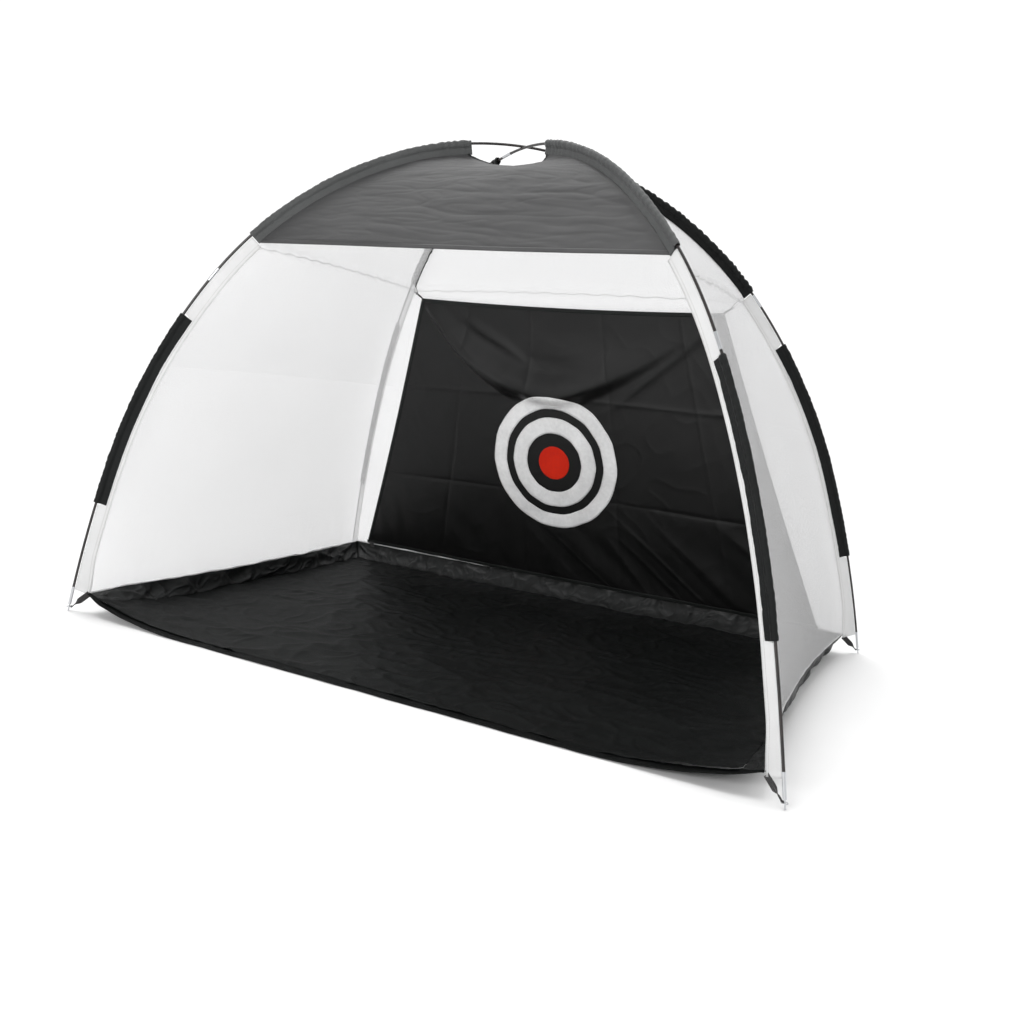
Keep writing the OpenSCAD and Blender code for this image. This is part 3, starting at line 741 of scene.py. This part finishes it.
# ---------------------------------------------------------------- nets and hood
SIDE_NET_BOW, REAR_NET_BOW, WALL_BOW = 0.058, 0.004, 0.014


def notch_share(v, peak):
    return np.where(v < peak, v / peak, (1 - v) / (1 - peak))


def wall_top(v, peak=0.5):
    return UPPER_END - 0.008 - NOTCH * notch_share(v, peak)


def wall_edge(s):
    """How far a wall's edge stands in from the pole: at the web's hem, or at the sleeve's flange above."""
    return WEB_REACH + (SLEEVE_REACH - WEB_REACH) * smooth_step(UPPER_START - 0.005, UPPER_START + 0.003, s)


def wall(p, q, s, v, towards, foot_bow, peak):
    """Points of the wall between legs p and q, at length s up them and share v across."""
    towards = np.array(towards, float)
    off_pole = 0.0012 if (p, q) in ((0, 1), (1, 3)) else -0.0012
    low, high = smooth_step(0.1, 0.6, s), np.clip((UPPER_END - s) / 0.5, 0, 1)
    reach = wall_edge(s) - 0.001
    edge_p, edge_q = beside(p, s, reach, -off_pole), beside(q, s, reach, off_pole)
    straight = edge_p * (1 - v)[..., None] + edge_q * v[..., None]
    bowed = towards * (high * (foot_bow + (WALL_BOW - foot_bow) * low) * bow(v))[..., None]
    sag = (np.maximum(0, s - SAG_START) / (wall_top(v, peak) - SAG_START)) ** 2 * notch_share(v, peak)
    return straight + bowed + (towards * CROWN_SAG[0] - UP * CROWN_SAG[1]) * sag[..., None]


def wall_grid(p, q, s_foot, towards, foot_bow, rows, cols, peak=0.5):
    v = np.broadcast_to(np.linspace(0, 1, cols)[None], (rows, cols))
    share = np.linspace(0, 1, rows)[:, None]
    s = s_foot + (wall_top(v, peak) - s_foot) * share
    return wall(p, q, s, v, towards, foot_bow, peak), s, v


# Each net's two legs, the direction it bows in, the side that it closes and its width
NETS = {
    "net_left": (0, 2, (1, 0, 0), -1, 1.6),
    "net_right": (1, 3, (-1, 0, 0), 1, 1.6),
    "net_rear": (2, 3, (0, -1, 0), 0, 2.7),
}


def net(name, seed):
    """A net wall between two legs, sewn to the skirt, with faint pulls from its corners and seams."""
    p, q, towards, side, width = NETS[name]
    foot_bow = SIDE_NET_BOW if side else REAR_NET_BOW
    points, s, v = wall_grid(p, q, NET_FOOT, towards, foot_bow, 150, 120)
    points = points + (skirt_top(side, v[:1]) - points[:1]) * above_foot(s)[..., None]
    edge = np.minimum(v, 1 - v) * width * (1 - s / 2.9)
    inner = smooth_step(0, 0.05, edge) * smooth_step(0, 0.04, wall_top(v) - s)
    inner = inner * smooth_step(NET_FOOT, NET_FOOT + 0.03, s)
    pulls = 0.0030 * noise(edge / 0.5, s / 0.09, seed) * np.exp(-edge / 0.22)
    slack = 0.0060 * noise(v * width / 0.7, s / 0.6, seed + 1)
    gathers = 0.0035 * noise(v * width / 0.06, s / 0.5, seed + 2) * np.exp(-(s - NET_FOOT) / FOOT_BLEND)
    points = points + normals(points) * ((pulls + slack + gathers) * inner)[..., None]
    obj = cloth(name, points, NETTING, stands_for=[name])
    outward = -np.array(towards, float)
    sewn_on = [
        seam_round(f"{name}_seam", points, s, v, outward),
        foot_hem(f"{name}_hem", points, -outward, seed + 16),
        tape_on_grid(f"{name}_top_binding", points, 1.0, 0.009, WHITE_TAPE, outward),
    ]


def sewn_tape(name, line, across, out, wide, material, lift, thick=0.0008):
    """A flat tape wide across, centred on a line of points and lifted outward off what it is sewn to."""
    across = unit(across)
    side = unit(np.cross(across, np.gradient(line, axis=0)))
    sign = np.sign((side @ np.array(out, float)).mean())
    share = np.linspace(-0.5, 0.5, 5)[None, :, None]
    points = line[:, None] + across[:, None] * share * wide + (side * sign * lift)[:, None]
    uv = pairs(np.linspace(0, wide, 5)[None], lengths_along(points, 0))
    return cloth(name, points, material, thick, uv=uv)


def tape_on_grid(name, points, rows_share, wide, material, out, lift=0.0012):
    """A tape along one row of a sheet's grid, where rows_share picks the row."""
    row = int(round(rows_share * (len(points) - 1)))
    row = min(max(row, 1), len(points) - 2)
    return sewn_tape(name, points[row], points[row + 1] - points[row - 1], out, wide, material, lift)


def seam_round(name, points, s, v, out):
    """The seam across a net at the height where the upper sleeves start."""
    level = UPPER_START - 0.010 + 0.008 * bow(v[0])
    row = (s < level[None]).sum(0) - 1
    columns = np.arange(points.shape[1])
    t = ((level - s[row, columns]) / (s[row + 1, columns] - s[row, columns]))[:, None]
    below, above = points[row, columns], points[row + 1, columns]
    line = below * (1 - t) + above * t
    return sewn_tape(name, line, above - below, out, 0.0028, WHITE_TAPE, 0.0004, 0.0004)


def foot_hem(name, points, inside, seed):
    """The doubled lower edge of a net, sewn over the skirt's top edge: a soft strip of uneven width."""
    line = points[0]
    up = unit(points[2] - points[0])
    place_at = np.linspace(0, 1, len(line))
    wide = 0.0055 + 0.0035 * noise(place_at * 17, 0.5, seed) + 0.003 * creases(place_at * 31, 0.5, seed + 1)
    share = np.linspace(-0.25, 1, 6)[None, :, None]
    swell = 0.0016 + 0.0014 * np.abs(noise(place_at * 43, 2.5, seed + 2))
    stand = swell[:, None, None] * np.sin(np.pi * np.clip(share, 0, 1)) ** 0.7 + 0.0009
    grid = line[:, None] + up[:, None] * share * wide[:, None, None] + inside * stand
    return cloth(name, grid, WHITE_TAPE, thick=0.0006)


for number, net_name in enumerate(NETS):
    net(net_name, 100 + 5 * number)


def hood():
    """The grey hood over the open front, with tension wrinkles between the poles and a sewn lower hem."""
    start = UPPER_START + 0.002
    points, s, v = wall_grid(0, 1, start, (0, 1, 0), 0.0, 150, 201, HOOD_PEAK)
    x = v * 1.6
    edge = np.minimum(v, 1 - v)
    inner = smooth_step(0, 0.03, edge)
    level = 0.0014 * noise(x / 0.45 + 0.4 * noise(x / 0.2, s / 0.12, 121), s / 0.06, 122)
    lines = 0.0014 * creases(x / 0.6, s / 0.12 + 0.3 * x, 124) + 0.0009 * creases(x / 0.2, s / 0.05, 126)
    pulls = 0.0035 * noise(edge / 0.25, s / 0.06, 128) * np.exp(-edge / 0.10)
    slack = 0.009 * noise(v * 2.2, s / 0.35, 130)
    lower = 1 - smooth_step(0.018, 0.020, s - start)
    lift = (level + lines + pulls + slack) * inner * (1 - 0.6 * lower) + 0.0008 * lower
    points = points + normals(points) * lift[..., None]
    obj = cloth("hood", points, GREY_CLOTH, CLOTH_THICK, stands_for=["hood"])
    sewn_on = [
        tape_on_grid("hood_lower_hem", points, 0.012, 0.018, GREY_CLOTH, (0, -1, 0), 0.0010),
        tape_on_grid("hood_notch_binding", points, 1.0, 0.010, BLACK_BINDING, (0, -0.3, 1), 0.0014),
    ]


hood()


# ---------------------------------------------------------------- corner straps
STRAP_W = 0.024


def strap(leg, seed):
    """Webbing from the floor's raised corner, gathered where it loops round the steel ring on the spike."""
    e, side = inward(leg), sideways(leg)
    cup_start = 0.030 + 1.03 * POLE_DROP * pole_of(leg)
    hinge = beside(leg, cup_start - 0.011) + e * 0.0085
    start, end = hinge + e * 0.0033 + UP * 0.001, beside(leg, 0.098, STRAP_REACH)
    along = unit(end - start)
    broad = np.cross(side, along)
    loop_turn = np.radians([200, 260, 320, 20, 80])[:, None]
    loop = hinge + 0.0036 * (np.cos(loop_turn) * -along + np.sin(loop_turn) * broad)
    straight = start + (end - start) * np.linspace(0.06, 1, 9)[:, None]
    knots = np.concatenate([loop, straight])
    place_at = np.concatenate([[0], np.cumsum(np.linalg.norm(np.diff(knots, axis=0), axis=1))])
    t = np.linspace(0, place_at[-1], 70)
    line = np.stack([np.interp(t, place_at, knots[:, i]) for i in range(3)], 1)
    kernel = np.array([1, 2, 3, 2, 1]) / 9
    padded = np.concatenate([line[:1], line[:1], line, line[-1:], line[-1:]])
    line = np.stack([np.convolve(padded[:, i], kernel, "valid") for i in range(3)], 1)
    loop_end = place_at[len(loop)]
    share_along = np.clip((t - loop_end) / (place_at[-1] - loop_end), 0, 1)
    opened = smooth_step(0.0, 0.45, share_along)
    half, twist = 0.0034 + 0.0082 * opened, np.pi / 2 * opened
    across = side * np.cos(twist)[:, None] - broad * np.sin(twist)[:, None]
    face = unit(np.cross(np.gradient(line, axis=0), across))
    share = np.linspace(-1, 1, 15)[None]
    spread = half[:, None] * share
    gathered = (1 - smooth_step(0.15, 0.7, share_along))[:, None]
    ripple = gathered * 0.0011 * np.cos(share * 8) + 0.0008 * noise(t[:, None] / 0.02, share, seed)
    points = line[:, None] + across[:, None] * spread[..., None] + face[:, None] * ripple[..., None]
    uv = pairs(spread + STRAP_W / 2, t[:, None])
    node = f"corner_strap_{LEGS[leg]}"
    obj = cloth(node, points, WEBBING, thick=0.0015, stands_for=[node], uv=uv)


for leg in range(4):
    strap(leg, 140 + leg)


# ---------------------------------------------------------------- the target
target_low, target_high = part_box("target_cloth")
CLOTH_MIDDLE = 0.0012
TOP_Y, TOP_Z = target_low.y + CLOTH_MIDDLE, target_high.z
BOTTOM_Y, BOTTOM_Z = target_high.y - CLOTH_MIDDLE, target_low.z
TOP_HALF, BOTTOM_HALF = 0.765, target_high.x
DROP = math.hypot(BOTTOM_Y - TOP_Y, TOP_Z - BOTTOM_Z)
DOWN = np.array([0, (BOTTOM_Y - TOP_Y) / DROP, (BOTTOM_Z - TOP_Z) / DROP])
FACING = np.array([0, DOWN[2], -DOWN[1]])
RIGHT = np.array([1.0, 0, 0])
TOP_MIDDLE = np.array([0, TOP_Y, TOP_Z])
CREASE_X = (-0.92, -0.50, -0.155, 0.20, 0.57)
CREASE_Y = (0.43, 0.93)
SWAG_DEPTH = 0.385
HEM_Y = DROP - 0.004
PATCH_STAND = 0.0009  # from the middle of the cloth to the middle of a patch
BULL_R = 0.342
BULL_X, BULL_Y = -0.060, 0.542 * DROP
RING_RATIO = (1, 0.79, 0.67, 0.44, 0.247)
RINGS = [BULL_R * ratio for ratio in RING_RATIO]
STITCH_INSET = 0.004  # from a patch's edge to its row of stitches
STITCH_COUNT = 700  # stitches in a ring, for each metre of its radius: about 9 mm apart
STITCH_FACES = (0.0012, 0.0024)  # a stitch's lower and upper face, off the cloth


def half_width(y):
    return TOP_HALF + (BOTTOM_HALF - TOP_HALF) * y / DROP


def fold(distance, rise, fall):
    """A hanging fold: downward, it swells over rise metres and then turns under over fall metres."""
    return np.where(distance < 0, smooth_step(-1, 0, distance / rise), smooth_step(1, 0, distance / fall))


def swag_line(x):
    """Height of the large swag that hangs between the two ties, measured down the cloth."""
    across = np.clip((x + 0.03) / np.where(x < -0.03, TOP_HALF - 0.03, TOP_HALF + 0.03), -1, 1)
    return SWAG_DEPTH * (1 - np.abs(across) ** np.where(x < -0.03, 2.2, 1.35))


def packing_crease(across, at, along, grain, strength, row, seed):
    """A sharp ridge that wanders about the line across = at, stronger in some places than in others."""
    wander = 0.010 * noise(along / grain, row, seed)
    strength = strength * (0.7 + 0.6 * noise(along / 0.3, row, seed + 1))
    return strength * np.exp(-np.abs(across - at - wander) / 0.009)


def target_relief(x, y):
    """How far the hung cloth stands out to the front: swags between the ties, packing creases and drapes."""
    inside = np.abs(x) < TOP_HALF
    line = swag_line(x)
    depth = line / SWAG_DEPTH
    left_side = 1 - 0.72 * smooth_step(-0.1, 0.4, x)
    swag = fold(y - line - 0.03 * depth, 0.09 + 0.09 * depth, 0.045 + 0.030 * depth)
    relief = 0.056 * depth ** 0.7 * left_side * swag * inside
    second = line + 0.095 * depth
    reach = smooth_step(-0.70, -0.52, x) * (1 - smooth_step(-0.36, -0.24, x))
    relief = relief + 0.026 * reach * fold(y - second, 0.075, 0.026) * inside
    streak = y - 0.55 * (x + 0.62) - 0.02
    reach = smooth_step(-0.60, -0.45, x) * (1 - smooth_step(-0.30, -0.12, x))
    relief = relief + 0.011 * bump_at(streak, 0.028) * reach
    relief = relief + 0.012 * fold(y - 0.19 - 0.03 * np.cos(4 * x), 0.12, 0.10) * bump_at(x - 0.02, 0.20)
    streak = y - 0.85 * (TOP_HALF - x) - 0.02
    relief = relief + 0.006 * bump_at(streak, 0.028) * smooth_step(0.15, 0.45, x) * inside
    fan = 1 + 0.42 * y
    for k, start in enumerate(CREASE_X):
        relief = relief + (-1) ** k * packing_crease(x, start * fan, y, 0.5, 0.0038, k + 0.5, 151)
    for k, start in enumerate(CREASE_Y):
        relief = relief + (-1) ** k * packing_crease(y, start, x, 0.6, 0.0040, k + 0.5, 153)
    low = smooth_step(0.85, 1.15, y) * (0.25 + 0.75 * smooth_step(-0.3, 0.4, x))
    slant, along = 0.62 * x - 0.78 * y, 0.78 * x + 0.62 * y
    drapes = 0.005 * noise(slant / 0.085, along / 0.8, 155)
    drapes = drapes + 0.0035 * creases(slant / 0.15, along / 1.1, 156)
    relief = relief + low * drapes
    upright = 0.006 * noise(x / 0.09, y / 0.9, 159) * smooth_step(1.0, 1.3, y)
    crumple = 0.0010 * creases(x / 0.16, y / 0.16, 157) + 0.004 * noise(x / 0.5, y / 0.4, 158)
    relief = relief + crumple + upright
    hold = smooth_step(0, 0.06, half_width(y) - np.abs(x)) * 0.75 + 0.25
    return relief * hold * smooth_step(-0.02, 0.05, y) * (0.35 + 0.65 * smooth_step(0, 0.05, DROP - y))


def on_target(x, y, stand):
    """Point on the hung cloth: x across and y down from its top edge, both in metres on the cloth."""
    sag = 0.014 * bow(np.clip(0.5 + x / (2 * half_width(y)), 0, 1)) * (1 - smooth_step(0, 0.5, y))
    belly = np.cos(np.clip((x - 0.45) / 1.5, -1, 1) * np.pi / 2)
    sag = sag + 0.009 * belly * smooth_step(DROP - 0.3, DROP, y)
    tuck = 0.010 * np.sin(np.pi * y / DROP) * (x / half_width(y))
    out = target_relief(x, y) + stand
    return TOP_MIDDLE + (x - tuck)[..., None] * RIGHT + (y + sag)[..., None] * DOWN + out[..., None] * FACING


def patch(name, x, y, stand, material, closed=False):
    """A sheet of the target for the frame's node of the same name, over a grid of places on the cloth."""
    return cloth(name, on_target(x, y, stand), material, CLOTH_THICK, closed, "target", [name],
                 pairs(x, y))


def target_cloth():
    y = np.linspace(0, HEM_Y, 210)[:, None]
    share = np.linspace(-1, 1, 300)[None]
    x = share * half_width(y)
    x, y = np.broadcast_arrays(x, y)
    obj = patch("target_cloth", x, y, 0.0, BLACK_TARGET)


def edge_binding(name, x, y, wide=0.016):
    """A folded binding sewn over one edge of the cloth."""
    middle = np.array([0.0, 0.6])
    edge = np.stack([x, y], 1)
    to_middle = middle - edge
    run = unit(np.gradient(edge, axis=0))
    inside = unit(to_middle - (to_middle * run).sum(1, keepdims=True) * run)
    share = np.linspace(-0.0015, wide, 6)[None]
    grid_x = x[:, None] + inside[:, :1] * share
    grid_y = y[:, None] + inside[:, 1:] * share
    swell = 0.0012 + 0.0006 * np.sin(np.linspace(0, np.pi, 6))[None]
    points = on_target(grid_x, grid_y, swell)
    uv = pairs(share, np.arange(len(x))[:, None] * 0.006)
    return cloth(name, points, BLACK_BINDING, thick=0.0009, body="target", uv=uv)


def cut_wave(turn, seed):
    """How unevenly a patch was cut round its edge, as a share of its radius."""
    row = seed + 0.5
    slow = 0.0035 * noise(turn * 4, row, seed) + 0.003 * np.cos(14 * turn)
    return slow + 0.0025 * noise(turn * 11, row, seed + 2)


def ring_patch(name, outer, inner, material, seed):
    """A sewn cloth ring that follows the hung cloth, a little uneven where it was cut."""
    turn = np.linspace(0, 2 * np.pi, 241)[None, :-1]
    rows = max(8, int((outer - inner) / 0.010))
    share = np.linspace(0, 1, rows)[:, None]
    r = (inner * (1 - share) + outer * share) * (1 + cut_wave(turn, seed))
    x, y = BULL_X + r * np.cos(turn), BULL_Y + r * np.sin(turn)
    edge = 0.0006 * smooth_step(0, 0.10, share) * smooth_step(0, 0.10, 1 - share)
    pucker = 0.0007 * noise(turn * 9, share * 2, seed + 1)
    stand = PATCH_STAND + edge + pucker * (1 - np.abs(2 * share - 1))
    return patch(name, x, y, stand, material, closed=True)


def disc_patch(name, radius, material, seed):
    """A sewn cloth disc: a square grid drawn out to a circle, a little uneven where it was cut."""
    side = np.linspace(-1, 1, 37)
    a, b = np.meshgrid(side, side)
    square, far = np.maximum(np.abs(a), np.abs(b)), np.maximum(np.hypot(a, b), 1e-9)
    turn = np.arctan2(b, a)
    r = radius * square * (1 + cut_wave(turn, seed))
    x, y = BULL_X + r * a / far, BULL_Y + r * b / far
    swell = 0.0006 * smooth_step(0, 0.06, 1 - square) + 0.0004 * noise(a * 3, b * 3, seed + 1)
    return patch(name, x, y, PATCH_STAND + swell, material)


def stitch_ring(name, radius, material, count):
    """One row of sewing stitches round a patch: a short bar of thread for each stitch."""
    pieces, faces, uvs = [], [], []
    half_long, half_wide = 0.0028, 0.0007
    for k, t in enumerate(np.arange(count) * 2 * np.pi / count):
        radial, tangent = np.array([math.cos(t), math.sin(t)]), np.array([-math.sin(t), math.cos(t)])
        centre = np.array([BULL_X, BULL_Y]) + radial * radius
        ends = (-1, -1), (1, -1), (1, 1), (-1, 1)
        corners = np.array([centre + tangent * i * half_long + radial * j * half_wide for i, j in ends])
        pieces += [on_target(*corners.T, stand) for stand in STITCH_FACES]
        base = 8 * k
        for quad in ((4, 5, 6, 7), (0, 1, 5, 4), (1, 2, 6, 5), (2, 3, 7, 6), (3, 0, 4, 7), (3, 2, 1, 0)):
            faces.append([base + i for i in quad])
        uvs += [corners, corners]
    obj = add_piece(name, np.concatenate(pieces), np.array(faces), np.concatenate(uvs), material)
    place(obj, "target")
    return obj


def bottom_tabs():
    """Short webbing tabs at the two lower corners of the cloth."""
    tabs = []
    half_wide, length = 0.015, 0.034
    t = np.linspace(0, 1, 14)
    y = DROP - 0.012 + t * length
    share = np.linspace(-half_wide, half_wide, 9)[None, :, None]
    uv = pairs(share[..., 0] + half_wide, (t * length)[:, None])
    for sign, name in ((-1, "left"), (1, "right")):
        x = sign * (BOTTOM_HALF - 0.030)
        centre = TOP_MIDDLE + x * RIGHT + y[:, None] * DOWN + (0.0035 - 0.003 * t)[:, None] * FACING
        points = centre[:, None] + share * RIGHT + (0.0006 * np.cos(share * 400)) * FACING
        tabs.append(cloth(f"target_bottom_tab_{name}", points, WEBBING, 0.0014,
                          body="target", stands_for=["target_bottom_tabs"] if sign > 0 else (), uv=uv))
    return tabs


on_cloth = [
    ring_patch("target_outer_ring", RINGS[0], RINGS[1], PATCH_WHITE, 161),
    ring_patch("target_inner_ring", RINGS[2], RINGS[3], PATCH_WHITE, 163),
    disc_patch("bullseye", RINGS[4], PATCH_RED, 165),
]
for k, edge_radius in enumerate(RINGS[:4]):
    inset = STITCH_INSET if k % 2 == 0 else -STITCH_INSET
    count = int(edge_radius * STITCH_COUNT)
    on_cloth.append(stitch_ring(f"ring_stitches_{k + 1}", edge_radius - inset, STITCHING, count))
edge_y = np.linspace(0.0, HEM_Y, 200)
top_x = np.linspace(-TOP_HALF, TOP_HALF, 220)
low_x = np.linspace(-BOTTOM_HALF, BOTTOM_HALF, 260)
on_cloth += [
    edge_binding("target_left_binding", -half_width(edge_y), edge_y),
    edge_binding("target_right_binding", half_width(edge_y), edge_y),
    edge_binding("target_top_binding", top_x, np.zeros_like(top_x)),
    edge_binding("target_bottom_binding", low_x, np.full_like(low_x, HEM_Y)),
    *bottom_tabs(),
]
target_cloth()


# ---------------------------------------------------------------- ties, toggles and loops
BAR_HALF, BAR_RADIUS = 0.015, 0.0030
LOOP_RADIUS, LOOP_CORD_RADIUS = 0.006, 0.0013


def tie_cord(sign, name, tie, corner, along):
    """The webbing from an upper corner of the target to its toggle, narrower near the toggle."""
    t = np.linspace(-0.14, 1.06, 24)[:, None]
    path = corner + (tie - corner) * t
    path[:5] += np.linspace(1, 0, 5)[:, None] * (DOWN * 0.012 + FACING * 0.003)
    half = 0.0015 + 0.0030 * (1 - smooth_step(0.50, 0.85, t))
    share = np.linspace(-1, 1, 7)[None, :, None]
    strip = path[:, None] + unit(np.cross(along, FACING)) * share * half[:, None]
    uv = pairs(half * (share[..., 0] + 1), lengths_along(path[:, None], 0))
    cloth(f"target_tie_{name}", strip, WEBBING, thick=0.0016, body="target",
          stands_for=["target_tie_cords"] if sign > 0 else (), uv=uv)


def toggle_bar(name, tie, along):
    """A toggle's cross bar: round, with rounded ends and two shallow grooves."""
    bar_axis = np.array([-along[1], along[0], 0]) / math.hypot(along[0], along[1])
    s = np.linspace(-1, 1, 25)
    radius = BAR_RADIUS * np.sqrt(np.clip(1 - np.clip((np.abs(s) - 0.82) / 0.18, 0, 1) ** 2, 0.04, 1))
    radius = radius - 0.0004 * (np.abs(np.abs(s) - 0.5) < 0.05)
    path = tie + bar_axis * s[:, None] * BAR_HALF
    node = f"toggle_{name}"
    tube(f"toggle_bar_{name}", path, radius, TOGGLE_GREY, node, [node], sides=16)


def toggle_loop(sign, name, tie, along):
    """The cord loop on a rear leg that the toggle passes through."""
    loop_centre = tie - along * 0.009
    up = unit(UP - along * along[2])
    across = np.cross(along, up)
    leg = 3 if sign > 0 else 2
    top = beside(leg, UPPER_START + 0.010, SLEEVE_REACH + 0.003)
    turn = np.linspace(0.05, 2 * np.pi - 0.05, 40)[:, None]
    ring = loop_centre + up * LOOP_RADIUS * np.cos(turn) + across * LOOP_RADIUS * np.sin(turn)
    strand = np.linspace(0, 1, 10)[:, None]
    rise = ring[0] + (top - ring[0]) * strand[::-1]
    fall = ring[-1] + (top - ring[-1]) * strand
    path = np.concatenate([rise[:-1], ring, fall[1:]])
    tube(f"toggle_loop_{name}", path, LOOP_CORD_RADIUS, CORD, "tent",
         ["toggle_loops"] if sign > 0 else (), sides=8)


for sign, side_name in ((-1, "left"), (1, "right")):
    low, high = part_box(f"toggle_{side_name}")
    tie = np.array((low + high) / 2)
    corner = np.array([sign * TOP_HALF, TOP_Y, TOP_Z + 0.0018])
    along = unit(tie - corner)
    tie_cord(sign, side_name, tie, corner, along)
    toggle_bar(side_name, tie, along)
    toggle_loop(sign, side_name, tie, along)


# ---------------------------------------------------------------- stage, light and camera
def ground():
    material, tree, shader, _ = new_material("pale_floor")
    speckle = object_noise(tree, 0.5, 2.0)
    colour = mix_colours(tree, speckle, rgba(grey(0.84)), rgba(grey(0.87)))
    connect(tree, shader, {"Base Color": colour, "Roughness": 0.9, "Specular IOR Level": 0.0})
    size = 60.0
    corners = [(-size, -size, 0), (size, -size, 0), (size, size, 0), (-size, size, 0)]
    mesh = bpy.data.meshes.new("ground")
    mesh.from_pydata(corners, [], [(0, 1, 2, 3)])
    mesh.materials.append(material)
    add_object("ground", mesh)


def lights():
    """A white sweep behind the net, a dimmer room in front, a broad lamp above and a soft box in front."""
    world = bpy.data.worlds.new("studio")
    bpy.context.scene.world = world
    world.use_nodes = True
    tree = world.node_tree
    direction = add_node(tree, "ShaderNodeTexCoord").outputs["Generated"]
    _, towards_back, upward = add_node(tree, "ShaderNodeSeparateXYZ", {0: direction}).outputs
    sweep = ramp(tree, towards_back, -0.35, 0.12, 0.42, 1.15)
    strength = maths(tree, "MULTIPLY", sweep, ramp(tree, upward, 0, 0.4, 0.88, 1.0))
    connect(tree, tree.nodes["Background"], {"Strength": strength, "Color": (1, 1, 1, 1)})
    lamp = bpy.data.lights.new("overhead", "SUN")
    lamp.energy = 1.4
    lamp.angle = math.radians(35)
    overhead = add_object("overhead", lamp)
    overhead.rotation_euler = Vector((0.30, -0.12, -1.0)).to_track_quat("-Z", "Y").to_euler()
    box = bpy.data.lights.new("soft_box", "AREA")
    box.shape = "RECTANGLE"
    box.size, box.size_y = 2.4, 1.2
    box.energy = 85
    soft_box = add_object("soft_box", box)
    soft_box.location = (0.2, -4.2, 1.9)
    towards_net = Vector((-0.2, 0.4, 1.0)) - soft_box.location
    soft_box.rotation_euler = towards_net.to_track_quat("-Z", "Y").to_euler()


def camera():
    """Stands in front, to the right of the middle, and looks down a little, as the photograph does."""
    yaw, pitch, roll = math.radians(23.125), math.radians(-12.558), math.radians(5.358)
    forward = Vector((-math.sin(yaw) * math.cos(pitch), math.cos(yaw) * math.cos(pitch), math.sin(pitch)))
    level = Vector((math.cos(yaw), math.sin(yaw), 0))
    upright = level.cross(forward)
    right = level * math.cos(roll) + upright * math.sin(roll)
    up = upright * math.cos(roll) - level * math.sin(roll)
    data = bpy.data.cameras.new("camera")
    data.sensor_width = 36.0
    data.lens = 29.08
    data.shift_x, data.shift_y = -0.0703, 0.0638
    data.clip_end = 500
    obj = add_object("camera", data)
    turned = Matrix((right, up, -forward)).transposed().to_4x4()
    obj.matrix_world = Matrix.Translation((1.7563, -3.085, 1.0803)) @ turned
    bpy.context.scene.camera = obj


ground()
lights()
camera()
bpy.context.scene.view_settings.view_transform = "Standard"

bpy.context.view_layer.update()
